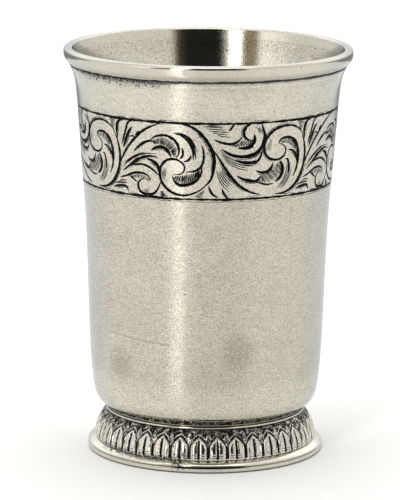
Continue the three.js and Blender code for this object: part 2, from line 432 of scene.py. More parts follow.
# %% [markdown]
# ## Satin pewter
# The cup was spun on a lathe and rubbed down, so very fine lines run round it, and they smear reflections
# upwards and downwards. A picture could hold the lines, but noise that is stretched along the wall is
# sharp from near by and never repeats. Old metal also has soft stains, tiny pits and black in every cut.
# The cuts carry a point attribute named patina, and the inner face one named inside, because the cup is
# more polished there.

# %% Brushed skin that the cup and the lip share
PEWTER_LIGHT = (0.71, 0.682, 0.594)
PEWTER_DULL = (0.36, 0.341, 0.286)
EDGE_TINT = (0.80, 0.84, 0.88, 1.0)
SOOT = (0.004, 0.0034, 0.0028)
SOOT_SHEEN = 0.1
SOOT_COVER = 0.9
BRUSHING = (400.0, 400.0, 3200.0)
DASHES = (1500.0, 1500.0, 4000.0)
DOTS = (3000.0, 3000.0, 3900.0)
SMOOTHER_ABOVE = (0.099, 0.101)


def brushed_skin(finish, within, polish=0.0):
    """Tone, roughness and height of rubbed-down pewter. It is brighter polished where within is 1."""
    finish.brushing = finish.noise(BRUSHING)
    finish.dashes = finish.noise(DASHES)
    finish.grain = finish.noise(4000.0, roughness=0.6)
    hammered = finish.noise(2600.0, detail=3.0, roughness=0.7)
    clouds = finish.noise(60.0, detail=4.0, roughness=0.6)
    worn = finish.noise(120.0).step(0.36, 0.62)
    dots = finish.noise(DOTS, detail=1.0).step(0.52, 0.66) * (0.5 + worn * 0.5)
    dots = dots * (1 - finish.z.step(*SMOOTHER_ABOVE) * 0.6)
    texture = (finish.grain - 0.5) * (1.4 + within * 3.8)
    texture = texture + (finish.dashes - 0.5) * 2.2 + (finish.brushing - 0.5) * 0.6
    texture = texture - finish.dashes.step(0.56, 0.66) * 0.9 - dots * 1.5
    tone = 0.71 + texture * (1.15 - polish * 0.75) - clouds.step(0.45, 0.8) * 0.12
    rough = 0.175 + clouds * 0.05 + (finish.dashes - 0.5) * 0.02
    rough = rough - within * 0.15 - (1 - within) * (polish * 0.12)
    height = (finish.brushing + finish.dashes) * 0.2 * (1 - within * 0.9)
    height = height + finish.grain * (0.06 + within * 0.69)
    return tone, rough, height * (1 - polish * 0.7) + hammered * within * 0.8


print("skin of brushed pewter, from", PEWTER_DULL, "to", PEWTER_LIGHT)

# %% Dirt on the cup: in its cuts and pits, under the lip and at the foot
SEAM_DIRT = (0.10975, 0.11015)
FOOT_DIRT = (0.01205, 0.0123)
CRUST_SPAN = (-0.036, -0.012)
CRUMB_HEIGHT = (0.1082, 0.1102)


def cup_dirt(finish, within):
    """1 where the cup is black. Under the lip, at the front left, the dirt is a ragged crust."""
    patina = finish.attribute("patina")
    ragged = finish.noise(520.0, detail=4.0, roughness=0.7)
    specks = finish.pits(0.0030, 0.00026, 0.12).highest(finish.pits(0.007, 0.0004, 0.08))
    inner_specks = finish.pits(0.0014, 0.00034, 0.3) * within
    cuts_black = (patina + (finish.grain - 0.5) * 0.4 * patina.step(0.02, 0.2)).step(0.04, 0.22)
    crusted = finish.x.between(*CRUST_SPAN, 0.005) * finish.front()
    crust = (ragged - 0.5) * 0.0010 + (finish.grain - 0.5) * crusted * 0.0090 + crusted * 0.0006
    seam = (finish.z + crust).step(*SEAM_DIRT) * (1 - within) * (0.8 + crusted * 0.2)
    crumbs = finish.pits(0.0009, 0.00042, 0.6) * crusted * finish.z.between(*CRUMB_HEIGHT, 0.0006)
    foot = (1 - finish.z.step(*FOOT_DIRT)) * (1 - within)
    black = cuts_black.highest(specks * 0.8).highest(inner_specks * 0.5)
    return black.highest(seam).highest(crumbs * 0.9).highest(foot)


print("crust of dirt from", CRUST_SPAN[0], "to", CRUST_SPAN[1], "m across the front")

# %% Scratch, stains, rubbed places, painted light and painted shade on the cup
STAINS = (((-0.0243, -0.0230, 0.0292), 0.0062), ((0.0091, -0.0322, 0.0339), 0.0070))
STAIN_MOTTLE = (1300.0, 1300.0, 3000.0)
SCRATCH_RISE = -0.0802
SCRATCH_HEIGHT = 0.03525
SCRATCH_SPAN = (-0.0265, -0.0098)
RUBBED_EDGE = (0.1088, 0.1093)
PAINTED_LIGHT_ON_HEEL = (0.0165, 0.0235)
PAINTED_LIGHT_ON_THROAT = (0.1005, 0.1085)
PAINTED_SHADE_ON_RIGHT = (-0.008, 0.02)


def cup_wear_and_shading(finish, within, heel_polish_and_shade):
    """How much duller each place of the cup is. It is below 0 where hands rub it and where light is painted.
    """
    scratch = abs(finish.z - finish.x * SCRATCH_RISE - SCRATCH_HEIGHT)
    scratch = (1 - scratch.step(0.00006, 0.00024)) * finish.x.between(*SCRATCH_SPAN, 0.001) * finish.front()
    dull = scratch * 0.9 - finish.z.between(*RUBBED_EDGE, 0.0002) * (1 - within) * 0.3
    # Painted shade darkens the polished band above the foot, and painted light brightens the lower body.
    dull = dull + heel_polish_and_shade * 0.12 - finish.z.between(*PAINTED_LIGHT_ON_HEEL, 0.003) * 0.32
    # Painted shade darkens the right side of the cup, and painted light brightens the throat.
    dull = dull + finish.x.step(*PAINTED_SHADE_ON_RIGHT) * 0.08 - finish.z.between(*PAINTED_LIGHT_ON_THROAT, 0.002) * 0.18
    dull = dull - finish.z.between(BELT_LOW * MM, BELT_TOP * MM, 0.0005) * (1 - within) * 0.2
    mottle = finish.noise(STAIN_MOTTLE, detail=1.0).step(0.42, 0.58)
    for centre, reach in STAINS:
        dull = dull + (1 - finish.distance_to(centre).step(reach * 0.1, reach)) * (0.1 + mottle * 1.1)
    return dull


print("stains:", len(STAINS))

# %% Satin finish of the cup
POLISHED_SHADED_HEEL = (0.0145, 0.0153)


def satin_pewter():
    """Brushed pewter, brighter polished inside the cup and under its heel, where painted shade darkens it."""
    finish = Finish("satin_pewter")
    within = finish.attribute("inside")
    # The band under the heel is smoother, and painted shade darkens it.
    heel_polish_and_shade = 1 - finish.z.step(*POLISHED_SHADED_HEEL)
    tone, rough, height = brushed_skin(finish, within)
    black = cup_dirt(finish, within)
    dull = cup_wear_and_shading(finish, within, heel_polish_and_shade)
    covered = black * (1 - within)
    return finish.feed(
        Base_Color=finish.colour(black, finish.colour(tone - dull, PEWTER_DULL, PEWTER_LIGHT), SOOT),
        Metallic=1 - covered * SOOT_COVER,
        Specular_IOR_Level=SOOT_SHEEN,
        Roughness=rough - heel_polish_and_shade * 0.15 + covered * 0.35,
        Normal=finish.bump(height * (1 - heel_polish_and_shade * 0.85), 0.000014),
        Specular_Tint=EDGE_TINT,
    )


SATIN = satin_pewter()
print("satin finish:", len(SATIN.node_tree.nodes), "nodes")

# %% [markdown]
# ## Polished pewter
# The lip, the fillet and the base moulding are bright, because hands and tables rub them, and the slope of
# the base bead has a painted highlight. Dirt stays in the seams, in the groove of the base and where the
# casting did not fill. It could be painted by hand. Its places are known, though, so the height and the
# place decide where it is black, and noise breaks its edge. Painted shadow darkens the underside of the
# lip and the bottom edge of the base, and a painted reflection blackens the groove at the front.

# %% Flaws of the casting at the front of the foot
FLAW_PLACE = (-0.0073, -0.0319, 0.0034)
FLAW_REACH = (0.0014, 0.0037)
FLAW_HEIGHT = (0.0025, 0.0039)
FLAW_SPAN = (-0.029, -0.007)


def casting_flaw(finish):
    """Black specks where the casting did not fill: a patch, and the foot of the leaves to its left."""
    unfilled = finish.noise(2300.0, detail=3.0)
    patch = (1 - finish.distance_to(FLAW_PLACE).step(*FLAW_REACH)) * unfilled.step(0.47, 0.53)
    edge = finish.z.between(*FLAW_HEIGHT, 0.0004) * finish.front()
    edge = edge * finish.x.between(*FLAW_SPAN, 0.003)
    return patch.highest(edge * unfilled.step(0.46, 0.53) * 0.9)


print("flaws round", FLAW_PLACE)

# %% Polished finish of the mouldings
LIP_FROM = (0.1, 0.101)
LIP_SEAM = (WALL_TOP + 0.3) * MM
UNDERCUT_SHADOW = (LIP_SEAM + 0.0004, LIP_SEAM + 0.0018)
MOUTH = (THROAT_RADIUS - 0.3) * MM
BASE_GROOVE = 0.00158
DARK_REFLECTION_SPAN = (-0.0092, 0.0115)
CONTACT_SHADOW_EDGE = (0.0002, 0.0006)
BEAD_HIGHLIGHT = (0.0020, 0.0030)
FILLET_SEAMS = ((0.0110, 0.0115, 0.0001), (0.0119, 0.0122, 0.00005))


def moulding_dirt_and_shade(finish, lip, within):
    """1 where the mouldings are black: seams, groove, pits, casting flaws, painted shadow and painted
    reflection.
    """
    ragged = finish.noise(420.0, detail=3.0)
    seam = 1 - (finish.z + (ragged - 0.5) * 0.0008 - LIP_SEAM) / 0.0003
    # A painted reflection of a dark card blackens the groove at the front. Round the rest it is only a little
    # dirty.
    dark_reflection = finish.x.between(*DARK_REFLECTION_SPAN, 0.002) * finish.front()
    groove = 1 - abs(finish.z - BASE_GROOVE) / 0.0004
    black = (groove.step(0.0, 0.4) * (0.25 + dark_reflection * 0.75)).highest(seam.step(0.0, 1.0) * lip)
    # Painted shadow under the overhang of the lip.
    undercut_shadow = lip * (1 - finish.z.step(*UNDERCUT_SHADOW)) * (1 - within)
    black = black.highest(undercut_shadow * 0.2 + undercut_shadow * (finish.grain.step(0.5, 0.62) * 0.25))
    # Painted contact shadow along the bottom edge of the base.
    black = black.highest((1 - finish.z.step(*CONTACT_SHADOW_EDGE)) * 0.9)
    for low, high, soft in FILLET_SEAMS:
        black = black.highest(finish.z.between(low, high, soft))
    return black.highest(finish.pits(0.0028, 0.00024, 0.08) * 0.7).highest(casting_flaw(finish))


def polished_pewter():
    """Bright pewter. The inner half of the lip is as polished as the inside of the cup."""
    finish = Finish("polished_pewter")
    lip = finish.z.step(*LIP_FROM)
    within = lip * (1 - finish.radius().step(MOUTH, MOUTH + 0.0003))
    tone, rough, height = brushed_skin(finish, within, polish=1.0)
    # Painted highlight on the slope of the base bead.
    tone = tone + (0.12 - lip * 0.16) * (1 - within) + finish.z.between(*BEAD_HIGHLIGHT, 0.0002) * 0.3
    black = moulding_dirt_and_shade(finish, lip, within)
    return finish.feed(
        Base_Color=finish.colour(black, finish.colour(tone, PEWTER_DULL, PEWTER_LIGHT), SOOT),
        Metallic=1 - black * SOOT_COVER,
        Specular_IOR_Level=SOOT_SHEEN,
        Roughness=rough + black * 0.4,
        Normal=finish.bump(height, 0.00002),
        Specular_Tint=EDGE_TINT,
    )


POLISHED = polished_pewter()
print("polished finish:", len(POLISHED.node_tree.nodes), "nodes")

# %% [markdown]
# ## Cast pewter and solder
# The leaf border was cast, so its skin is slightly pitted. Its hollows are black and its ridges are
# rubbed bright. Ambient occlusion could find the hollows, but it is slow and blurred, so the patina
# attribute of the relief says it point by point. Solder is duller and greyer than the rest.

# %% Cast and solder finishes
CAST_BRIGHT = (0.67, 0.65, 0.59)
CAST_GREY = (0.50, 0.475, 0.415)
SOLDER_BRIGHT = (0.42, 0.41, 0.385)
SOLDER_GREY = (0.26, 0.255, 0.24)


def cast_pewter():
    """Pitted pewter, black in the hollows of the relief."""
    finish = Finish("cast_pewter")
    patina = finish.attribute("patina")
    grain = finish.noise(2600.0, detail=3.0)
    blotch = finish.noise(800.0)
    dirt = patina + ((grain - 0.5) * 1.3 + (blotch - 0.5) * 0.9) * patina.step(0.1, 0.5)
    black = dirt.step(0.3, 0.68).highest(casting_flaw(finish))
    metal = finish.colour(grain.step(0.3, 0.7), CAST_BRIGHT, CAST_GREY)
    return finish.feed(
        Base_Color=finish.colour(black, metal, SOOT),
        Metallic=1 - black * SOOT_COVER,
        Specular_IOR_Level=SOOT_SHEEN,
        Roughness=0.13 + grain * 0.06 + black * 0.3,
        Normal=finish.bump(grain, 0.000006),
    )


def dull_solder():
    """Grey solder that has flowed and set."""
    finish = Finish("solder")
    grain = finish.noise(1800.0, detail=3.0)
    flow = finish.noise(260.0)
    return finish.feed(
        Base_Color=finish.colour(flow.step(0.3, 0.7), SOLDER_BRIGHT, SOLDER_GREY),
        Metallic=1.0,
        Roughness=0.42 + grain * 0.16,
        Normal=finish.bump(grain * 0.5 + flow * 0.5, 0.00005),
    )


CAST = cast_pewter()
SOLDER = dull_solder()
print("cast finish:", len(CAST.node_tree.nodes), "nodes; solder:", len(SOLDER.node_tree.nodes))

# %% [markdown]
# ## The engraved belt
# A graver was pushed round the wall to cut a running scroll: tapered V-shaped cuts for the outlines, and
# rows of hair lines for the shading. It could be painted, but then light would not catch in the cuts. So
# one repeat of the scroll is drawn as a list of cuts, each a width and the points it passes, in
# millimetres along the wall and up from the table. The cuts become real grooves in a small panel of the
# wall.

# %% Cuts of the large scroll, and of the leaves on its stem
LARGE_SCROLL = {
    "stem": (0.56, [
        (-26.3, 85.6), (-25.2, 87.2), (-23.2, 90.6), (-20.4, 93.9), (-16.8, 97.0), (-12.4, 99.0),
    ]),
    "back": (0.8, [
        (-8.2, 99.0), (-5.2, 98.5), (-2.3, 96.5), (0.0, 93.4), (1.3, 90.0), (1.4, 87.0), (0.6, 83.4),
        (-1.6, 80.8),
    ]),
    "coil": (0.56, [
        (0.2, 82.7), (-2.6, 80.1), (-6.6, 78.75), (-10.2, 79.7), (-12.7, 82.4), (-13.0, 86.0),
        (-11.2, 88.5), (-8.4, 88.8), (-6.4, 87.1), (-7.0, 85.0), (-9.7, 84.4),
    ]),
    "upper_crescent": (0.55, [
        (-15.8, 93.8), (-14.2, 95.0), (-11.6, 95.5), (-9.2, 94.5), (-7.9, 92.4), (-7.9, 90.4),
        (-8.7, 89.1),
    ]),
    "crescent_foot": (0.58, [(-20.9, 90.1), (-18.6, 92.3), (-16.4, 93.5), (-15.1, 93.6), (-14.7, 92.8)]),
    "crescent_inside": (0.8, [(-15.6, 90.9), (-14.0, 91.9), (-12.4, 92.1), (-11.0, 91.3), (-9.8, 89.4)]),
    "crescent_tongue": (0.48, [(-7.1, 92.4), (-6.7, 91.0), (-6.9, 89.8), (-7.7, 88.9)]),
    "shaded_leaf": (0.45, [(-9.4, 96.3), (-6.8, 95.5), (-4.9, 93.4), (-4.1, 91.0), (-4.0, 88.6)]),
    "shaded_leaf_second": (0.36, [(-8.6, 96.6), (-5.8, 95.5), (-4.1, 93.0), (-3.5, 90.6), (-3.35, 88.8)]),
    "shaded_leaf_third": (0.2, [(-7.4, 96.5), (-4.9, 95.0), (-3.5, 92.6), (-3.0, 90.8)]),
    "inner_leaf": (0.52, [
        (-2.0, 93.4), (-1.4, 91.6), (-1.3, 89.2), (-2.0, 87.0), (-3.8, 85.7), (-6.2, 85.4),
    ]),
    "inner_spur": (0.48, [(-4.6, 90.4), (-4.8, 89.4), (-5.6, 88.6), (-6.8, 88.2)]),
    "lower_crescent": (0.72, [
        (-1.9, 87.2), (-1.9, 85.4), (-2.9, 83.4), (-5.0, 82.0), (-7.4, 81.6), (-9.0, 82.6), (-9.7, 84.4),
    ]),
}
STEM_LEAVES = {
    "long_leaf": (0.66, [
        (-24.8, 84.2), (-22.4, 86.0), (-19.8, 88.0), (-16.6, 89.2), (-14.6, 89.25), (-13.4, 88.8),
    ]),
    "long_leaf_shade": (0.24, [
        (-25.0, 85.1), (-22.6, 87.2), (-20.0, 88.9), (-17.2, 89.9), (-13.8, 90.1),
    ]),
    "leaf_back": (0.8, [(-17.0, 88.6), (-15.2, 88.0), (-13.8, 86.8), (-13.05, 84.4)]),
    "leaf_vein": (0.48, [(-22.0, 86.1), (-20.0, 86.6), (-17.8, 86.7), (-15.4, 85.7), (-13.3, 83.9)]),
    "curl_hood": (0.52, [
        (-26.0, 82.2), (-23.6, 83.0), (-21.2, 84.0), (-18.8, 84.3), (-16.8, 83.8), (-15.7, 82.3),
    ]),
    "curl_hood_foot": (0.36, [(-22.6, 83.1), (-21.2, 82.4), (-19.9, 81.4)]),
    "curl": (0.56, [
        (-17.6, 82.8), (-19.1, 82.2), (-19.8, 80.8), (-19.2, 79.1), (-17.4, 78.4), (-15.2, 78.7),
        (-13.8, 80.2), (-12.9, 82.4),
    ]),
    "ground_leaf": (0.68, [(-28.6, 79.2), (-26.4, 79.8), (-24.2, 80.0), (-23.4, 79.4), (-23.1, 78.4)]),
    "ground_leaf_shade": (0.3, [(-28.4, 80.3), (-26.0, 80.8), (-23.3, 80.9)]),
    "ground_leaf_line": (0.2, [(-26.4, 81.2), (-24.8, 81.6), (-23.3, 81.6)]),
    "broad_blade": (0.7, [(-26.0, 93.2), (-26.4, 95.6), (-26.1, 97.4), (-25.2, 98.5), (-23.6, 99.0)]),
    "middle_blade": (0.5, [(-24.8, 91.6), (-23.9, 94.0), (-23.1, 96.4), (-22.4, 98.2), (-20.6, 99.0)]),
    "spear_blade": (0.8, [(-24.2, 90.8), (-23.4, 93.0), (-22.2, 95.6), (-21.0, 97.2)]),
    "blade_notch": (0.36, [(-22.0, 94.2), (-21.0, 94.6), (-20.1, 94.0)]),
    "stem_barb": (0.36, [(-20.2, 94.6), (-19.4, 95.7), (-18.5, 96.1)]),
}
print("cuts of the large scroll:", len(LARGE_SCROLL) + len(STEM_LEAVES))

# %% Cuts of the small scroll, and of the curl above it
SMALL_SCROLL = {
    "swinging_stem": (0.64, [
        (1.2, 91.8), (2.4, 89.9), (4.6, 86.2), (7.4, 82.4), (10.6, 80.0), (14.8, 78.5),
    ]),
    "back": (0.75, [
        (18.6, 78.5), (22.4, 78.9), (25.4, 80.6), (27.6, 83.8), (28.6, 87.6), (28.3, 91.6), (27.0, 95.0),
    ]),
    "coil": (0.6, [
        (27.6, 93.8), (26.2, 96.2), (23.4, 97.6), (20.4, 97.65), (17.4, 96.6), (15.4, 94.2), (15.0, 91.4),
        (16.2, 89.1), (18.8, 88.3), (21.0, 89.2), (21.6, 91.2), (20.4, 92.5), (19.2, 92.9),
    ]),
    "hooked_leaf": (0.78, [
        (19.3, 92.6), (19.6, 93.8), (21.6, 94.45), (23.8, 93.8), (25.4, 91.9), (26.1, 88.8), (25.7, 85.4),
        (24.5, 82.8),
    ]),
    "hooked_leaf_inside": (0.64, [(22.3, 90.8), (23.4, 90.7), (24.6, 89.9), (25.6, 88.2), (25.9, 86.4)]),
    "short_hook": (0.5, [(21.5, 88.4), (22.4, 88.1), (22.85, 86.8), (22.9, 84.0)]),
    "basket_back": (0.95, [(19.7, 88.0), (20.5, 87.0), (20.9, 85.4), (20.3, 83.4), (18.6, 82.0)]),
    "basket_lip": (0.7, [(12.6, 85.7), (14.4, 85.0), (16.2, 85.2), (17.3, 86.2), (17.8, 87.7)]),
    "basket_foot": (0.36, [(12.4, 82.5), (14.2, 82.0), (16.2, 81.5), (18.4, 81.7)]),
    "low_leaf": (0.66, [
        (7.4, 84.5), (9.2, 83.4), (11.4, 82.8), (12.8, 82.6), (13.7, 83.3), (14.5, 84.4),
    ]),
}
TOP_CURL = {
    "curl": (0.66, [(11.2, 98.9), (9.8, 98.2), (9.1, 96.6), (9.6, 95.0), (11.0, 94.3)]),
    "curl_shade": (0.95, [(11.9, 96.1), (12.2, 94.6), (11.6, 93.0), (10.0, 92.2), (7.4, 92.2)]),
    "curl_leaf": (0.56, [(1.2, 94.8), (3.4, 93.8), (5.8, 93.4), (7.6, 94.1), (8.9, 95.6)]),
    "hanging_leaf": (0.9, [
        (3.0, 92.2), (6.0, 90.3), (9.6, 89.7), (12.6, 90.5), (14.4, 92.6), (15.0, 95.2), (14.5, 97.2),
        (13.9, 98.9),
    ]),
    "hanging_leaf_under": (0.7, [(6.8, 88.9), (9.4, 88.1), (12.2, 88.0), (13.7, 88.9), (14.4, 91.0)]),
    "border_tick": (0.5, [(5.1, 96.9), (5.9, 98.0), (6.6, 99.1)]),
    "ground_tick": (0.56, [(3.6, 80.9), (4.2, 79.3), (5.4, 78.0)]),
    "ground_curve": (0.5, [(0.0, 81.8), (0.5, 80.2), (1.4, 79.0), (2.6, 78.4)]),
}
print("cuts of the small scroll:", len(SMALL_SCROLL) + len(TOP_CURL))

# %% Rows of hair lines: how many, how wide, and the two guides that they are spread between
SHADING = {
    "curl_ball": (
        4, 0.15,
        [(-18.9, 79.6), (-17.4, 79.5), (-15.7, 80.7)],
        [(-18.2, 78.9), (-16.8, 78.8), (-15.5, 79.3)],
    ),
    "top_curl_side": (
        4, 0.18,
        [(12.0, 98.2), (13.1, 97.2), (13.4, 95.0)],
        [(13.5, 98.2), (14.2, 96.8), (14.3, 95.0)],
    ),
    "top_fan": (
        5, 0.24,
        [(-2.4, 98.4), (1.6, 98.2), (5.4, 97.8)],
        [(1.4, 96.2), (3.6, 95.6), (6.4, 95.3)],
    ),
    "hanging_fan": (
        4, 0.24,
        [(2.6, 92.0), (5.6, 89.4), (9.0, 88.0), (13.6, 87.4)],
        [(3.0, 90.4), (5.8, 87.6), (8.8, 86.2), (12.4, 85.7)],
    ),
    "stem_fan": (
        6, 0.25,
        [(3.3, 87.2), (5.0, 84.6), (7.9, 81.9)],
        [(1.9, 86.4), (3.4, 82.2), (6.2, 79.4)],
    ),
    "hook_fan": (
        4, 0.25,
        [(22.2, 87.4), (22.1, 84.6), (20.8, 81.8), (17.8, 79.6)],
        [(23.8, 87.2), (23.6, 84.0), (21.8, 81.0), (18.4, 79.0)],
    ),
    "leaf_light": (
        3, 0.15,
        [(-25.0, 85.9), (-21.4, 88.6), (-17.6, 90.4), (-15.6, 90.5)],
        [(-25.2, 85.5), (-22.0, 87.9), (-18.6, 89.8), (-15.8, 90.2)],
    ),
    "scroll_side": (
        4, 0.15,
        [(0.9, 91.2), (1.0, 88.0), (0.2, 84.2)],
        [(1.9, 90.2), (1.8, 87.0), (0.8, 83.2)],
    ),
    "ball_side": (
        4, 0.15,
        [(-12.4, 86.4), (-12.4, 84.0), (-11.4, 81.8)],
        [(-11.4, 86.6), (-11.6, 84.2), (-10.8, 82.6)],
    ),
    "small_ball_side": (
        4, 0.15,
        [(15.8, 93.6), (15.7, 91.6), (16.6, 90.0)],
        [(17.2, 95.0), (16.8, 92.4), (17.2, 90.6)],
    ),
    "top_gap": (
        7, 0.19,
        [(24.4, 98.6), (26.6, 98.7), (28.8, 98.6)],
        [(25.6, 97.2), (26.6, 96.4), (27.3, 95.6)],
    ),
    "low_gap": (
        6, 0.2,
        [(-14.0, 78.3), (-12.2, 78.3), (-10.0, 78.3)],
        [(-13.2, 79.8), (-12.7, 79.4), (-12.0, 79.8)],
    ),
    "middle_gap": (
        6, 0.2,
        [(-4.6, 78.4), (-2.4, 78.4), (-0.3, 78.4)],
        [(-1.9, 79.9), (-1.1, 80.3), (-0.6, 80.2)],
    ),
}
print("hair lines:", sum(row[0] for row in SHADING.values()))

# %% Hollows filled with hatching: how many strokes, how wide, and the two edges that they run between
HATCHING = {
    "upper_crescent": (
        28, 0.2,
        [(-14.9, 94.2), (-11.6, 95.2), (-8.4, 92.8), (-8.3, 89.4)],
        [(-14.6, 92.7), (-12.2, 92.4), (-10.6, 91.2), (-9.5, 89.5)],
    ),
    "lower_crescent": (
        24, 0.21,
        [(-2.3, 86.6), (-4.0, 85.3), (-6.0, 84.9), (-9.0, 84.2)],
        [(-2.5, 84.0), (-4.8, 82.4), (-7.3, 81.9), (-9.3, 83.2)],
    ),
    "curl_hood": (
        14, 0.19,
        [(-22.2, 83.4), (-19.4, 84.1), (-17.0, 83.6), (-15.9, 82.4)],
        [(-21.2, 82.6), (-19.4, 82.6), (-17.8, 82.5), (-16.6, 81.8)],
    ),
    "basket": (
        22, 0.2,
        [(13.0, 83.4), (15.2, 85.0), (17.6, 86.5), (19.4, 88.0)],
        [(13.4, 82.3), (16.6, 81.9), (19.6, 83.0), (20.6, 86.6)],
    ),
    "top_curl": (
        16, 0.2,
        [(6.2, 93.4), (8.2, 94.3), (9.6, 94.8), (11.8, 94.6)],
        [(7.0, 92.5), (8.6, 92.5), (10.2, 92.7), (11.6, 93.4)],
    ),
    "small_hook": (
        13, 0.19,
        [(19.6, 93.6), (21.6, 94.3), (23.7, 93.6), (25.2, 91.9)],
        [(20.6, 92.8), (21.9, 92.6), (23.2, 91.8), (24.5, 90.4)],
    ),
}
print("hatching strokes:", sum(row[0] for row in HATCHING.values()))

# %% [markdown]
# A graver starts and ends in a point, and its line wavers a little. A plain bevelled curve would be as
# wide at its ends as in the middle. So each cut is a smooth curve through its points, with a width that
# swells from nothing and a small seeded waver. The belt has border cuts as well, which run right through
# from one repeat to the next.

# %% Smooth lines, with the half width of the cut along them
CURVE_STEPS = 12
WIDTH_WAVER = (0.82, 1.12)
LINE_WAVER = 0.03
waver = np.random.RandomState(11)


def smooth_line(points, spacing):
    """A Catmull-Rom curve through the points, at an even spacing."""
    knots = np.array(points, float)
    knots = np.vstack([2 * knots[0] - knots[1], knots, 2 * knots[-1] - knots[-2]])
    share = np.linspace(0, 1, CURVE_STEPS, endpoint=False)[:, None]
    fine = []
    for before, start, end, after in zip(knots, knots[1:], knots[2:], knots[3:]):
        square = (2 * before - 5 * start + 4 * end - after) * share**2
        cube = (3 * start - before - 3 * end + after) * share**3
        fine.append(0.5 * (2 * start + (end - before) * share + (square + cube)))
    fine = np.vstack([*fine, knots[-2:-1]])
    walked = np.concatenate([[0], np.cumsum(np.linalg.norm(np.diff(fine, axis=0), axis=1))])
    even = np.linspace(0, walked[-1], max(4, int(walked[-1] / spacing) + 1))
    return np.column_stack([np.interp(even, walked, fine[:, axis]) for axis in (0, 1)])


def tapered(line, width, point=0.5):
    """The cut along a line: its points, and half its width at each, with pointed ends."""
    share = np.linspace(0, 1, len(line))
    half = width / 2 * np.sin(np.pi * share) ** point * waver.uniform(*WIDTH_WAVER, len(line))
    half[0] = half[-1] = 0
    return line + waver.uniform(-LINE_WAVER, LINE_WAVER, line.shape), half


print("points along the stem:", len(smooth_line(LARGE_SCROLL["stem"][1], 0.45)))

# %% Rows of hair lines, and strokes of hatching
HAIR = 1.45
GUIDE_STEPS = 40
HATCH_SLANT = 0.04


def along_guide(guide):
    """Points at even shares of a guide's length."""
    line = smooth_line(guide, 0.25)
    known = np.linspace(0, 1, len(line))
    share = np.linspace(0, 1, GUIDE_STEPS)
    return np.column_stack([np.interp(share, known, line[:, axis]) for axis in (0, 1)])


def hair_lines(count, width, first, last):
    """Cuts spread evenly between two guides, each a little longer or shorter than the next."""
    guides = along_guide(first), along_guide(last)
    longest = GUIDE_STEPS - 1
    for lean in np.linspace(0, 1, count):
        line = (1 - lean) * guides[0] + lean * guides[1]
        start, end = waver.uniform(0, 0.14), waver.uniform(0.86, 1)
        kept = line[int(start * longest) : int(end * longest) + 1 : 6]
        yield tapered(smooth_line(kept, 0.7), HAIR * width)


def hatching(count, width, first, last):
    """Short strokes from one edge of a hollow to the other, a little aslant."""
    edges = [smooth_line(edge, 0.2) for edge in (first, last)]
    for share in np.linspace(0, 1 - HATCH_SLANT, count):
        start = edges[0][int(share * (len(edges[0]) - 1))]
        end = edges[1][int((share + HATCH_SLANT) * (len(edges[1]) - 1))]
        yield tapered(np.linspace(start, end, 5), HAIR * width, 0.2)


print("points along a guide:", GUIDE_STEPS)

# %% All the cuts of one repeat
GRAVER = 1.44
DOUBLED = 0.6
SECOND_GAP = 0.32
SECOND_WIDTH = 0.17
DRAWN_BETWEEN = (77.72, 99.1)
SCROLL_LOW = BELT_LOW + 0.1
SCROLL_HIGH = BELT_TOP + 0.15
SCROLL_SHIFT = 0.25


def beside(line, distance):
    """The middle of a line, moved square to itself: the second pass of the graver along a bold cut."""
    moved = line - distance * square_to(line)
    return moved[len(line) // 6 : -len(line) // 4]


def scroll_cuts():
    """Every cut of the drawing: the outlines, then the hair lines and the hatching."""
    for part in (LARGE_SCROLL, STEM_LEAVES, SMALL_SCROLL, TOP_CURL):
        for width, points in part.values():
            line = smooth_line(points, 0.45)
            yield tapered(line, GRAVER * width**0.75)
            if width >= DOUBLED:
                yield tapered(beside(line, width / 2 + SECOND_GAP), HAIR * SECOND_WIDTH)
    for row in SHADING.values():
        yield from hair_lines(*row)
    for row in HATCHING.values():
        yield from hatching(*row)


def placed(line):
    """Fits the drawing, which was made between two other heights, between the belt's borders."""
    up = np.interp(line[:, 1], DRAWN_BETWEEN, (SCROLL_LOW, SCROLL_HIGH))
    return np.column_stack([line[:, 0] + SCROLL_SHIFT, up])


cuts = [(placed(line), half) for line, half in scroll_cuts()]
print("cuts in one repeat:", len(cuts), "with", sum(len(line) for line, half in cuts), "points")

# %% Border cuts, ragged along their edges
REPEATS = 4
REPEAT_LENGTH = 54.2
BORDER_SPACING = 0.55
UPPER_BORDER = 0.84
LOWER_BORDER = 0.8
FINE_BORDER = 0.16
FINE_BORDER_DROP = 0.67


def border_cut(height, width):
    """A line round the belt that joins up with itself in the next repeat."""
    count = int(REPEAT_LENGTH / BORDER_SPACING)
    along = np.linspace(-REPEAT_LENGTH / 2, REPEAT_LENGTH / 2, count + 1)
    ragged = waver.uniform(0.4, 1.4, count)
    half = width / 2 * (ragged + np.roll(ragged, 1) + np.roll(ragged, 2)) / 3
    up = height + waver.uniform(-0.07, 0.07, count)
    return np.column_stack([along, np.append(up, up[0])]), np.append(half, half[0])


def border_nicks(height, count):
    """Short slips of the graver beside a border."""
    for _ in range(count):
        start = waver.uniform(-REPEAT_LENGTH / 2, REPEAT_LENGTH / 2)
        length = waver.uniform(1.2, 4.0)
        up = height + waver.choice([-1, 1]) * waver.uniform(0.45, 0.7)
        line = smooth_line([(start, up), (start + length / 2, up + 0.05), (start + length, up - 0.1)], 0.5)
        yield tapered(line, waver.uniform(0.12, 0.24))


cuts += [*border_nicks(SCROLL_HIGH, 16), *border_nicks(SCROLL_LOW, 12)]
borders = [border_cut(SCROLL_HIGH, UPPER_BORDER), border_cut(SCROLL_LOW, LOWER_BORDER)]
borders.append(border_cut(SCROLL_LOW - FINE_BORDER_DROP, FINE_BORDER))
print("border cuts:", len(borders))

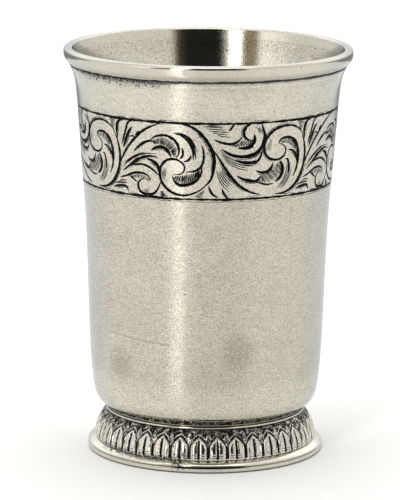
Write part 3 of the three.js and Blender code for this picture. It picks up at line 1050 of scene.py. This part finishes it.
# %% [markdown]
# The panel is a flat triangulation that has every cut's two edges and its bottom among its lines, so each
# groove is crisp with few faces. Delaunay triangulation from Blender's own library makes it, with loose
# points between the cuts to keep the triangles even. Cuts that cross the panel's end are drawn again one
# repeat along, so that the ends match. The points along the top and bottom are the lathe's own steps, so
# that the panel closes with the turned parts of the wall.

# %% Cuts that show in the panel, and how deep they are
PANEL_LOW = BELT_LOW - 2.2
PANEL_HIGH = BELT_TOP + 1.6
PANEL_END = REPEAT_LENGTH / 2
PANEL_STEPS = TURN_STEPS // REPEATS
FINEST_CUT = 0.02


def panel_cuts():
    """Every cut that shows in the panel, those of the next repeats included."""
    for line, half in cuts:
        for shift in (-REPEAT_LENGTH, 0, REPEAT_LENGTH):
            moved = line + (shift, 0)
            if moved[:, 0].max() > -PANEL_END and moved[:, 0].min() < PANEL_END:
                yield moved, half
    yield from borders


def cut_sides(line, half):
    """The two edges of a cut."""
    square = square_to(line) * half[:, None]
    return line + square, line - square


def cut_depth(points, line, half):
    """How far each point lies into a cut, from 0 at its edge to 1 at its bottom, and the half width there."""
    start, step = line[:-1], np.diff(line, axis=0)
    gap = points[:, None] - start[None]
    share = np.clip((gap * step).sum(2) / (step**2).sum(1), 0, 1)
    distance = np.linalg.norm(gap - share[..., None] * step, axis=2)
    width = half[:-1] + share * np.diff(half)
    into = np.where(width > FINEST_CUT, 1 - distance / np.maximum(width, FINEST_CUT), 0)
    best = into.argmax(1)
    rows = np.arange(len(points))
    return np.maximum(into[rows, best], 0), width[rows, best]


shown_cuts = list(panel_cuts())
print("cuts that show in the panel:", len(shown_cuts))

# %% Loose points and the frame of the panel
LOOSE_SPACING = 1.15
CLEAR_OF_CUTS = 0.25
FRAME_ROWS = 15


def loose_points(spacing):
    """A staggered grid inside the panel, kept clear of the cuts."""
    grid = []
    for index, up in enumerate(np.arange(PANEL_LOW + spacing, PANEL_HIGH - spacing / 2, spacing * 0.9)):
        first = -PANEL_END + spacing * (0.6 + 0.5 * (index % 2))
        along = np.arange(first, PANEL_END - spacing / 2, spacing)
        grid.append(np.column_stack([along, np.full(len(along), up)]))
    grid = np.vstack(grid)
    clear = np.ones(len(grid), bool)
    for line, half in shown_cuts:
        clear &= cut_depth(grid, line, half + CLEAR_OF_CUTS)[0] <= 0
    return grid[clear]


def panel_frame():
    """The panel's four edges, as one closed line."""
    along = np.linspace(-PANEL_END, PANEL_END, PANEL_STEPS + 1)
    up = np.linspace(PANEL_LOW, PANEL_HIGH, FRAME_ROWS)
    bottom = np.column_stack([along, np.full(len(along), PANEL_LOW)])
    right = np.column_stack([np.full(len(up), PANEL_END), up])
    top = np.column_stack([along, np.full(len(along), PANEL_HIGH)])[::-1]
    left = np.column_stack([np.full(len(up), -PANEL_END), up])[::-1]
    return np.vstack([bottom[:-1], right[:-1], top[:-1], left])


between_cuts = loose_points(LOOSE_SPACING)
print("loose points between the cuts:", len(between_cuts))

# %% Triangulate the panel
SAME_POINT = 1e-4


def flat_panel():
    """Points and triangles of one repeat, before anything is cut."""
    lines = [panel_frame()]
    for line, half in shown_cuts:
        lines.extend([line, *cut_sides(line, half)])
    points, edges = [], []
    for line in lines:
        edges.extend((len(points) + index, len(points) + index + 1) for index in range(len(line) - 1))
        points.extend(line)
    points.extend(between_cuts)
    made = delaunay_2d_cdt([Vector(point) for point in points], edges, [], 0, SAME_POINT)
    flat = np.array([tuple(point) for point in made[0]])
    faces = np.array(list(made[2]))
    middle = flat[faces].mean(1)
    kept = np.abs(middle[:, 0]) < PANEL_END
    kept &= (middle[:, 1] > PANEL_LOW) & (middle[:, 1] < PANEL_HIGH)
    used, index = np.unique(faces[kept], return_inverse=True)
    return flat[used], index.reshape(-1, 3)


flat_points, panel_faces = flat_panel()
print("panel:", len(flat_points), "points and", len(panel_faces), "triangles")

# %% Press the cuts into the panel and bend it round the wall
CUT_SLOPE = 0.75


def on_ring(radius, angle, height):
    """Points at a radius and a height, with angles counted from the front."""
    return np.column_stack([radius * np.sin(angle), -radius * np.cos(angle), height])


def add_attribute(piece, name, values):
    """A number at every point of a piece, which its finish reads."""
    piece.data.attributes.new(name, "FLOAT", "POINT").data.foreach_set("value", values)


def bent_panel():
    """One repeat of the belt on the wall, with the patina attribute that blackens its cuts."""
    depth = np.zeros(len(flat_points))
    patina = np.zeros(len(flat_points))
    for line, half in shown_cuts:
        past_start = flat_points > line.min(0) - half.max()
        before_end = flat_points < line.max(0) + half.max()
        near = np.flatnonzero((past_start & before_end).all(1))
        if len(near) == 0:
            continue
        into, width = cut_depth(flat_points[near], line, half)
        depth[near] = np.maximum(depth[near], CUT_SLOPE * width * into)
        patina[near] = np.maximum(patina[near], into)
    angle = flat_points[:, 0] / REPEAT_LENGTH * math.tau / REPEATS
    points = on_ring(outside_radius(flat_points[:, 1]) - depth, angle, flat_points[:, 1])
    panel = mesh_object("cup_wall", points, faces=panel_faces.tolist())
    add_attribute(panel, "patina", patina)
    print("deepest cut:", round(depth.max(), 2), "mm")
    return panel


wall_panel = bent_panel()

# %% [markdown]
# ## The wall
# The rest of the wall is turned: the throat, the tongue that runs up into the lip, the inner face, the
# turned-in lip under the cup and the body. A second tree repeats a panel round the axis and closes it
# with a turned strip. It is used for the belt here, and for the leaves of the foot later.

# %% Copies round the axis, and a wobble
WOBBLE_SCALE = 500.0
WOBBLE_DETAIL = 2.0


def copies_round_axis(tree, given):
    """Instances of the incoming panel, each turned by one pitch more than the last."""
    points = add_node(tree, "GeometryNodePoints", {"Count": given["Count"]})
    index = add_node(tree, "GeometryNodeInputIndex", {})
    pitch = add_node(tree, "ShaderNodeMath", {0: math.tau, 1: given["Count"]}, operation="DIVIDE")
    factors = {0: index, 1: pitch, 2: given["Turn"]}
    spin = add_node(tree, "ShaderNodeMath", factors, operation="MULTIPLY_ADD")
    turn = add_node(tree, "ShaderNodeCombineXYZ", {"Z": spin})
    sockets = {"Points": points, "Instance": given["Geometry"], "Rotation": turn}
    return add_node(tree, "GeometryNodeInstanceOnPoints", sockets)


def wobble_offset(tree, given):
    """A small seeded noise that points are moved by."""
    sockets = {"W": given["Wobble Seed"], "Scale": WOBBLE_SCALE, "Detail": WOBBLE_DETAIL}
    noise = add_node(tree, "ShaderNodeTexNoise", sockets, "Color", noise_dimensions="4D")
    centred = add_node(tree, "ShaderNodeVectorMath", {0: noise, 1: (0.5, 0.5, 0.5)}, operation="SUBTRACT")
    return add_node(tree, "ShaderNodeVectorMath", {0: centred, "Scale": given["Wobble"]}, operation="SCALE")


print("noise of the wobble has", WOBBLE_SCALE, "cells per metre")

# %% A tree that repeats a panel round the axis
WOBBLE_SEED = 3.0


def repeat_tree():
    """Copies the incoming panel round the axis, welds it to a turned strip and wobbles it."""
    inputs = {"Count": "Int", "Turn": "Float", "Wobble": "Float", "Wobble Seed": "Float"}
    inputs.update({"Strip": "Object", "Finish": "Material"})
    tree, given, result = new_tree("repeat_round_axis", inputs)
    strip = add_node(tree, "GeometryNodeObjectInfo", {"Object": given["Strip"]}, "Geometry")
    both = tree.nodes.new("GeometryNodeJoinGeometry")
    tree.links.new(strip, both.inputs[0])
    tree.links.new(copies_round_axis(tree, given), both.inputs[0])
    real = add_node(tree, "GeometryNodeRealizeInstances", {"Geometry": both.outputs[0]})
    welded = add_node(tree, "GeometryNodeMergeByDistance", {"Geometry": real, "Distance": WELD})
    sockets = {"Geometry": welded, "Offset": wobble_offset(tree, given)}
    moved = add_node(tree, "GeometryNodeSetPosition", sockets)
    dressed = add_node(tree, "GeometryNodeSetMaterial", {"Geometry": moved, "Material": given["Finish"]})
    tree.links.new(dressed, result["Geometry"])
    return tree


REPEAT = repeat_tree()


def repeated(panel, strip, count, turn, wobble, finish):
    """Runs the repeat tree and removes the strip that it used up."""
    values = {"Count": count, "Turn": turn, "Wobble": wobble * MM, "Wobble Seed": WOBBLE_SEED}
    run_tree(panel, REPEAT, {**values, "Strip": strip, "Finish": finish})
    bpy.data.objects.remove(strip)
    return panel


print("repeat tree has", len(REPEAT.nodes), "nodes")

# %% Turn the plain parts of the wall
LIP_WIDTH = 3.4
LIP_TOP = FOOT_TOP + WALL
RIM_STEP = 0.5
TONGUE_TOP = WALL_TOP + 1.7
lip_bore = NECK_RADIUS - LIP_WIDTH
tongue_radius = THROAT_RADIUS - RIM_STEP


def inside_radius(height):
    """Radius of the inner face, from the floor to the edge of the mouth."""
    return np.interp(height, inside[:, 1], inside[:, 0])


def wall_section():
    """The wall without the belt: from the belt's top over the mouth, down the inside and up to the belt."""
    above = throat_line[throat_line[:, 1] > PANEL_HIGH]
    below = np.vstack([heel_line, body_line[1:]])
    below = below[below[:, 1] < PANEL_LOW]
    inner = inside[(inside[:, 1] > LIP_TOP + 0.2) & (inside[:, 1] < TONGUE_TOP - 0.1)][::-1]
    section = [(outside_radius(PANEL_HIGH), PANEL_HIGH), *above]
    section += [(tongue_radius, WALL_TOP), (tongue_radius, TONGUE_TOP)]
    section += [(inside_radius(TONGUE_TOP), TONGUE_TOP), *inner, (inside_radius(LIP_TOP), LIP_TOP)]
    section += [(lip_bore, LIP_TOP), (lip_bore, FOOT_TOP)]
    return [*section, *below, (outside_radius(PANEL_LOW), PANEL_LOW)]


wall_strip = turned("wall_strip", wall_section(), SATIN, closed=False)
print("the strip has", len(wall_strip.data.polygons), "faces")


# %% Close the wall with the belt, and mark its inner face
def mark_inside(piece):
    """A point attribute that is 1 on the face that the drink touches."""
    place = np.empty(len(piece.data.vertices) * 3)
    piece.data.vertices.foreach_get("co", place)
    place = place.reshape(-1, 3) / MM
    radius = np.hypot(place[:, 0], place[:, 1])
    inner = (radius < outside_radius(place[:, 2]) - WALL / 2) & (place[:, 2] > LIP_TOP - 0.1)
    add_attribute(piece, "inside", inner.astype(float))


cup_wall = repeated(wall_panel, wall_strip, REPEATS, 0.0, 0.0, SATIN)
mark_inside(cup_wall)
smooth(cup_wall, 32)

# %% [markdown]
# ## Floor of the cup
# A pressed disc lies on the turned-in lip and closes the cup. Its middle stands a little high, as a
# pressed floor does, and solder runs round its edge. The wall could simply be closed at the bottom, but
# the solids are two pieces with a seam, and the seam shows from above.

# %% Floor and its solder
FLOOR = 1.8
FLOOR_DISH = 0.6
FLOOR_STEPS = 14
SEAM_CLEARANCE = 0.2
FILLET = 1.2
FILLET_HOLLOW = 0.36
floor_top = LIP_TOP + FLOOR
floor_radius = inside_radius(floor_top) - SEAM_CLEARANCE
lip_corner = inside_radius(LIP_TOP) - SEAM_CLEARANCE


def dish(radius):
    """Rise of the floor's upper face, highest in the middle."""
    return FLOOR_DISH * (1 - radius / floor_radius)


floor_section = [(0, LIP_TOP + FLOOR_DISH), (lip_bore - SEAM_CLEARANCE, LIP_TOP), (lip_corner, LIP_TOP)]
for radius in np.linspace(floor_radius, 0, FLOOR_STEPS):
    floor_section.append((radius, floor_top + dish(radius)))
cup_floor = smooth(turned("cup_floor", floor_section, SATIN, closed=False), 35)
mark_inside(cup_floor)
inner_edge = floor_radius - FILLET
fillet_top = (inside_radius(floor_top + FILLET) - SEAM_CLEARANCE, floor_top + FILLET)
hollow = ((inner_edge + fillet_top[0]) / 2 + 0.12, floor_top + FILLET * FILLET_HOLLOW)
fillet_section = [(inner_edge, floor_top + dish(inner_edge)), (floor_radius, floor_top), fillet_top, hollow]
floor_solder = smooth(turned("floor_solder", fillet_section, SOLDER), 35)

# %% [markdown]
# ## The lip
# A thick moulding is soldered over the wall's top edge. It rounds over the top and is undercut towards
# the seam, where a dark uneven line shows. A bevelled ring would be as round below as above, so arcs and
# one smooth stretch give its section.

# %% Section of the lip moulding
LIP_OVERHANG = 1.55
LIP_FLARE = 0.9
LIP_CREST = 0.2
LIP_ROUND = 0.9
SEAM = 0.3
SKIRT = 0.3
RIM_CLEARANCE = 0.15
CONTACT = 0.02
lip_low = (THROAT_RADIUS + RIM_CLEARANCE, WALL_TOP + SEAM)
lip_widest = (THROAT_RADIUS + LIP_OVERHANG, HEIGHT - LIP_ROUND)
crest = THROAT_RADIUS + LIP_CREST
roof = TONGUE_TOP + SEAM
channel = tongue_radius + RIM_CLEARANCE
skirt_low = TONGUE_TOP + CONTACT


def arc(centre, run, rise, start, end, steps=8):
    """Points of part of an ellipse, with angles in degrees."""
    angles = np.radians(np.linspace(start, end, steps + 1))
    return np.column_stack([centre[0] + run * np.cos(angles), centre[1] + rise * np.sin(angles)])


lip_section = [*stretch(lip_low, LIP_FLARE, lip_widest, 0, handles=(0.5, 0.4), steps=10)]
lip_section += [*arc((crest, HEIGHT - LIP_ROUND), LIP_OVERHANG - LIP_CREST, LIP_ROUND, 0, 90)[1:]]
lip_section += [*arc((crest, HEIGHT - LIP_INNER_ROUND), LIP_CREST + LIP_INSET, LIP_INNER_ROUND, 90, 180)[1:]]
lip_section += [(inside_radius(level), level) for level in np.linspace(mouth_edge[1], skirt_low, 7)[1:]]
lip_section += [(inside_radius(skirt_low) + SKIRT, skirt_low), (inside_radius(roof) + SKIRT, roof)]
lip_section += [(channel, roof), (channel, lip_low[1])]
print("points of the lip's section:", len(lip_section))

# %% Lip moulding and the solder in its channel
rim_wire = smooth(turned("rim_wire", lip_section, POLISHED), 40)
solder_bore = inside_radius(roof) + SKIRT + CONTACT
channel_section = [(solder_bore, TONGUE_TOP), (tongue_radius, TONGUE_TOP)]
channel_section += [(tongue_radius, roof), (solder_bore, roof)]
rim_solder = smooth(turned("rim_solder", channel_section, SOLDER), 35)

# %% [markdown]
# ## Mouldings of the foot
# The tumbler stands on a plain band with a fine groove and a bead above it. A thin fillet wire closes the
# top of the foot against the cup. The groove could be a line of dark paint, but a real one catches the
# light on its lower edge; at the front a painted reflection also blackens it. Both rings are turned, and
# solder holds them from inside.

# %% Base moulding and its solder
BASE_RADIUS = 33.45
BASE_HEIGHT = 3.05
BASE_EDGE = 0.3
BASE_BAND = 1.35
GROOVE_WIDTH = 0.4
GROOVE_DEPTH = 0.25
BEAD = 1.3
BEAD_ROUND = 0.6
BASE_WIDTH = 5
base_bore = BASE_RADIUS - BASE_WIDTH
bead_low = BASE_BAND + GROOVE_WIDTH


def hanging_fillet(outer, inner, top):
    """Section of solder that hangs in a corner, below a face."""
    sag = FILLET * FILLET_HOLLOW
    return [(outer, top), (inner, top), (outer - sag, top - sag), (outer, top - FILLET)]


base_section = [(base_bore, 0), *arc((BASE_RADIUS - BASE_EDGE, BASE_EDGE), BASE_EDGE, BASE_EDGE, -90, 0)]
base_section += [(BASE_RADIUS, BASE_BAND), (BASE_RADIUS - GROOVE_DEPTH, BASE_BAND + GROOVE_WIDTH / 2)]
base_section += [*arc((BASE_RADIUS - BEAD_ROUND, bead_low), BEAD_ROUND, BEAD_ROUND, 0, 48)]
base_section += [(BASE_RADIUS - BEAD, BASE_HEIGHT), (base_bore, BASE_HEIGHT)]
base_ring = smooth(turned("base_ring", base_section, POLISHED), 40)
solder_edge = base_bore - SEAM_CLEARANCE
foot_fillet = hanging_fillet(solder_edge, solder_edge - FILLET, BASE_HEIGHT)
base_solder = smooth(turned("base_solder", foot_fillet, SOLDER), 35)

# %% Fillet wire and its solder
LEAF_TOP = FOOT_TOP - 0.7
NOSE = (FOOT_TOP - LEAF_TOP) / 2
NECK_OVERHANG = 0.3
NECK_WIDTH = 2.75
neck_outer = NECK_RADIUS + NECK_OVERHANG
neck_bore = neck_outer - NECK_WIDTH
neck_section = [(neck_bore, LEAF_TOP), *arc((neck_outer - NOSE, LEAF_TOP + NOSE), NOSE, NOSE, -90, 90, 12)]
neck_section += [(neck_bore, FOOT_TOP)]
neck_wire = smooth(turned("neck_wire", neck_section, POLISHED), 40)
under_cup = neck_bore - SEAM_CLEARANCE
cup_fillet = hanging_fillet(under_cup, max(lip_bore, under_cup - FILLET), FOOT_TOP)
neck_solder = smooth(turned("neck_solder", cup_fillet, SOLDER), 35)

# %% [markdown]
# ## The border of leaves
# The cast ring has thirty-six pointed leaves. Each has a raised edge like a little arch, two lobes with a
# dark groove between them, and a dart stands in each gap. They could be sculpted one by one, but they all
# came from one pattern. So one leaf is modelled as a fine panel whose points are pushed out by a relief,
# and the repeat tree copies it round. A small seeded wobble keeps the casting from looking machined.

# %% Sizes of a leaf
LEAF_COUNT = 36
LEAF_TURN = math.radians(6.7)
LEAF_HEIGHT = LEAF_TOP - BASE_HEIGHT
LEAF_FOOT_RADIUS = BASE_RADIUS - 2.5
LEAF_TOP_RADIUS = 27.8
LEAF_BORE_RADIUS = 26.4
LEAF_DOME = 0.75
RELIEF = 0.5
FRONT_ARCH = {"half": 2.27, "spring": 3.6, "tip": 6.3, "power": 1.6}
BACK_ARCH = {"half": 1.7, "spring": 3.5, "tip": 7.9, "power": 1.1}
leaf_pitch = LEAF_FOOT_RADIUS * math.tau / LEAF_COUNT
print("pitch of the leaves:", round(leaf_pitch, 2), "mm")


# %% Helpers of the relief
def rise(value, low, high):
    """0 below low, 1 above high and smooth between."""
    share = np.clip((value - low) / (high - low), 0, 1)
    return share * share * (3 - 2 * share)


def ridge(value, middle, half):
    """A rounded ridge across a value."""
    return np.sqrt(np.clip(1 - ((value - middle) / half) ** 2, 0, 1))


def line_at(value, middle, width):
    """A soft line where the value passes the middle."""
    return np.exp(-(((value - middle) / width) ** 2))


def leaf_ground(height):
    """Radius of the plain ring behind the leaves."""
    turn_in = np.clip(np.cos(height / LEAF_HEIGHT * math.pi / 2), 0, 1) ** LEAF_DOME
    return LEAF_TOP_RADIUS + (LEAF_FOOT_RADIUS - LEAF_TOP_RADIUS) * turn_in


def arch_width(height, half, spring, tip, power):
    """Half the width of a pointed arch at a height."""
    return half * (1 - np.clip((height - spring) / (tip - spring), 0, 1) ** power)


def arch_distance(side, height, half, spring, tip, power):
    """How far a point lies inside the arch's edge."""
    climb = np.clip((height - spring) / (tip - spring), 0, 1)
    lean = half * power * climb ** (power - 1) / (tip - spring)
    inwards = (arch_width(height, half, spring, tip, power) - side) / np.sqrt(1 + lean**2)
    return inwards - np.maximum(height - tip, 0)


print("radius of the ring half way up:", round(float(leaf_ground(LEAF_HEIGHT / 2)), 2), "mm")

# %% Relief of one leaf, and the dirt in its hollows
EDGE_MIDDLE = 0.26
EDGE_HALF = 0.27
FIELD = (0.44, 0.62)
SLIT = (0.2, 0.38)
SLIT_TOP = (4.65, 5.25)
FOOT_LINES = (0.85, 1.45)
DOT_HEIGHT = 0.75
DOT = (0.3, 0.42)
BACK_HALF = 0.35
BACK_LOW = (3.35, 3.95)
ECHO_LOW = (4.35, 5.15)
ECHO_TOP = (7.45, 8.05)
PLINTH = (0.2, 0.4)


def leaf_relief(across, height):
    """Relief in millimetres and patina from 0 to 1, across a leaf and up from its foot."""
    side = np.abs(across)
    gap = leaf_pitch / 2 - side
    edge = arch_distance(side, height, **FRONT_ARCH)
    back_edge = np.minimum(arch_distance(gap, height, **BACK_ARCH), -edge - 0.3)
    field = rise(edge, *FIELD)
    lobe_half = np.maximum((arch_width(height, **FRONT_ARCH) - 0.8) / 2, 0.15)
    across_lobe = (side - 0.3 - lobe_half) / (lobe_half + 0.06)
    lobe = 1 - np.clip(np.abs(across_lobe), 0, 1) ** 3
    slit = (1 - rise(side, *SLIT)) * (1 - rise(height, *SLIT_TOP))
    lobes = field * (0.6 + 0.28 * lobe) * (1 - 0.4 * rise(height, 2.0, 5.8))
    leaf = np.maximum(ridge(edge, EDGE_MIDDLE, EDGE_HALF), lobes) * (1 - 0.9 * slit * field)
    feet = sum(line_at(height, level, 0.09) for level in FOOT_LINES) * field * rise(side, 0.3, 0.5)
    back = ridge(np.clip(back_edge, 0, BACK_HALF), BACK_HALF, BACK_HALF) * rise(height, *BACK_LOW)
    plinth = 1 - rise(height, *PLINTH)
    echo = line_at(edge, -0.72, 0.16) * rise(height, *ECHO_LOW) * (1 - rise(height, *ECHO_TOP))
    back = np.maximum(0.6 * back * (back_edge > 0), 0.34 * echo)
    relief = np.maximum.reduce([leaf * (edge > 0) - 0.1 * feet, back, 0.75 * plinth])
    ground = 0.86 - 0.22 * rise(height, 5.95, 7.35)
    patina = ground * (1 - rise(relief, 0.14, 0.36))
    patina = np.maximum.reduce([patina, field * slit, field * (1 - lobe) * 0.8, feet * 0.85])
    patina = np.maximum(patina, 0.5 * (back_edge > 0) * (edge < 0))
    dots = np.minimum(np.hypot(side, height - DOT_HEIGHT), np.hypot(gap, height - DOT_HEIGHT))
    patina = np.maximum(patina, 1 - rise(dots, *DOT))
    return RELIEF * np.maximum(relief, 0), patina * (1 - plinth)


print("relief in the middle of a leaf:", round(float(leaf_relief(1.0, 3.0)[0]), 2), "mm")

# %% The panel of one leaf
LEAF_COLUMNS = 30
LEAF_ROWS = 50


def leaf_panel():
    """A fine grid over one pitch, pushed out by the relief."""
    across, height = np.meshgrid(np.linspace(-0.5, 0.5, LEAF_COLUMNS + 1), np.linspace(0, 1, LEAF_ROWS + 1))
    across, height = across.ravel(), height.ravel() * LEAF_HEIGHT
    relief, patina = leaf_relief(across * leaf_pitch, height)
    relief[(height <= 0) | (height >= LEAF_HEIGHT)] = 0
    points = on_ring(leaf_ground(height) + relief, across * math.tau / LEAF_COUNT, height + BASE_HEIGHT)
    wide = LEAF_COLUMNS + 1
    corners = [row * wide + column for row in range(LEAF_ROWS) for column in range(LEAF_COLUMNS)]
    faces = [(start, start + 1, start + wide + 1, start + wide) for start in corners]
    panel = mesh_object("leaf_ring", points, faces=faces)
    add_attribute(panel, "patina", patina)
    return panel


one_leaf = leaf_panel()
print("faces of one leaf:", len(one_leaf.data.polygons))

# %% The whole ring
LEAF_WOBBLE = 0.05
bore_section = [(LEAF_TOP_RADIUS, LEAF_TOP), (LEAF_BORE_RADIUS, LEAF_TOP)]
bore_section += [(LEAF_BORE_RADIUS, BASE_HEIGHT), (LEAF_FOOT_RADIUS, BASE_HEIGHT)]
bore_strip = turned("bore_strip", bore_section, CAST, closed=False, steps=LEAF_COUNT * LEAF_COLUMNS)
first_column = math.tau / LEAF_COUNT / 2 - math.pi / 2
bore_strip.data.transform(Matrix.Rotation(first_column + LEAF_TURN, 4, "Z"))
leaf_ring = repeated(one_leaf, bore_strip, LEAF_COUNT, LEAF_TURN, LEAF_WOBBLE, CAST)
smooth(leaf_ring, 50)

# %% [markdown]
# ## Floor and light
# The tumbler stands on a white table. Metal shows what is round it, so the light is a white room with a
# few cards: a dark space behind the camera, and to its left a bright narrow window with a brown card
# beside it. They make the black and white bands in the mouth and the soft upright streak on the wall.
# Lamps and real cards could stand there, but they would show in the picture. So the room is painted into
# the world by direction, and the camera itself sees plain white.

# %% White table
TABLE_REACH = 6000
TABLE_CORNERS = ((-1, -1), (1, -1), (1, 1), (-1, 1))
corners = [(TABLE_REACH * right, TABLE_REACH * back, 0) for right, back in TABLE_CORNERS]
table = mesh_object("table", corners, faces=[(0, 1, 2, 3)])


def white_table():
    """White for the camera. The metal sees it with painted shade, a painted light patch and a painted glow at
    the foot.
    """
    finish = Finish("white_table")
    weave = finish.noise(30.0, detail=3.0)
    hidden = 1 - finish.place.node("ShaderNodeLightPath")
    side = bearing(finish.x, finish.y)
    away = finish.radius()
    far = (finish.y + 0.05).step(0.0, 0.6)
    # Painted shade, a painted patch of window light and a painted glow, which only the metal sees.
    dim = finish.y.step(-0.01, 0.1) * hidden
    shade = finish.colour(weave, (0.93, 0.93, 0.935), (0.945, 0.945, 0.948))
    shade = finish.colour(dim, shade, (0.90, 0.91, 0.925))
    shade = finish.colour(side.between(-12, 36, 6) * hidden, shade, (0.85, 0.85, 0.84))
    shade = finish.colour(finish.y.step(0.38, 0.5) * hidden, shade, (0.3, 0.3, 0.31))
    patch = side.step(-36, -24) * (1 - side.step(-20.5, -19)) * away.step(0.06, 0.11)
    glow = finish.colour(far, (0.0, 0.0, 0.0), (0.06, 0.06, 0.06))
    glow = finish.colour(dim, glow, (0.0, 0.0, 0.0))
    glow = finish.colour((1 - away.step(0.045, 0.075)) * hidden, glow, (0.17, 0.168, 0.16))
    glow = finish.colour(patch * hidden, glow, (0.62, 0.605, 0.575))
    finish.feed(Base_Color=shade, Roughness=0.9, Specular_IOR_Level=0.0)
    return finish.feed(Emission_Color=glow, Emission_Strength=1.0)


table.data.materials.append(white_table())
print("table finish:", len(table.data.materials[0].node_tree.nodes), "nodes")

# %% Cards and window of the room, by direction
WHITE = (1.0, 0.995, 0.98, 1.0)
BROWN = (1.0, 0.82, 0.6, 1.0)
DARK_CARD = (-15, 31)
WARM_EDGE = (23, 33)
BROWN_CARD = (-46, -30.5)
WINDOW = (-29, -21)
CARD_LIFT = (-10, 60)
BROWN_LIFT = (-10, 50)
CEILING = (66, 74)


def room_light(look):
    """How bright the room is in each direction, and its colour there."""
    x, y, z = split(look)
    side = bearing(x, y)
    lift = x.node("ShaderNodeMath", {0: z}, operation="ARCSINE") * DEGREES
    dark = side.between(*DARK_CARD, 2) * lift.between(*CARD_LIFT, 8)
    warm = side.between(*WARM_EDGE, 3) * lift.between(*CARD_LIFT, 8)
    brown = side.between(*BROWN_CARD, 1) * lift.between(*BROWN_LIFT, 8)
    window = side.between(*WINDOW, 1) * lift.between(*CARD_LIFT, 6)
    behind = y.step(0.0, 0.9) * z.step(0.1, 0.5)
    left = side.step(-95, -50) * (1 - side.step(-49, -46)) * lift.between(*CARD_LIFT, 8)
    level = (1 - dark * (0.978 - warm * 0.06)) * (1 - brown * 0.58) * (1 + behind * 0.7) + window * 4.5
    level = level + left * 0.5 + lift.step(*CEILING) * 0.9
    sockets = {0: brown.highest(warm), 6: WHITE, 7: BROWN}
    return level, look.node("ShaderNodeMix", sockets, output=2, data_type="RGBA")


print("window", WINDOW[1] - WINDOW[0], "degrees wide, dark card", DARK_CARD[1] - DARK_CARD[0])


# %% The room as the world
def white_room():
    """The room as metal sees it, and plain white where the camera looks."""
    world = bpy.data.worlds.new("white_room")
    world.use_nodes = True
    tree = world.node_tree
    room = tree.nodes["Background"]
    level, tint = room_light(Signal(tree, tree.nodes.new("ShaderNodeTexCoord").outputs["Generated"]))
    tree.links.new(level.socket, room.inputs["Strength"])
    tree.links.new(tint.socket, room.inputs["Color"])
    seen = tree.nodes.new("ShaderNodeBackground")
    seen.inputs["Color"].default_value = (1.0, 1.0, 1.0, 1.0)
    path = tree.nodes.new("ShaderNodeLightPath")
    mixer = tree.nodes.new("ShaderNodeMixShader")
    tree.links.new(path.outputs["Is Camera Ray"], mixer.inputs["Fac"])
    tree.links.new(room.outputs[0], mixer.inputs[1])
    tree.links.new(seen.outputs[0], mixer.inputs[2])
    tree.links.new(mixer.outputs[0], tree.nodes["World Output"].inputs["Surface"])
    return world


scene.world = white_room()
print("room:", len(scene.world.node_tree.nodes), "nodes")

# %% [markdown]
# ## Putting the pieces in their places
# Every dressed piece stands for one solid of the frame, and is listed under the name of its finish.
# Nothing on a tumbler moves, so they all ride on the root.

# %% Stand in for the solids
SLOTS = {
    "satin_pewter": [cup_wall, cup_floor],
    "polished_pewter": [rim_wire, neck_wire, base_ring],
    "cast_pewter": [leaf_ring],
    "solder": [rim_solder, floor_solder, neck_solder, base_solder],
}
for slot, pieces in SLOTS.items():
    for piece in pieces:
        node = piece.name.split(".")[0]
        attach(piece, "root")
        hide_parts(node)
        piece.name = "dressed_" + node
print("dressed pieces:", sum(len(pieces) for pieces in SLOTS.values()))
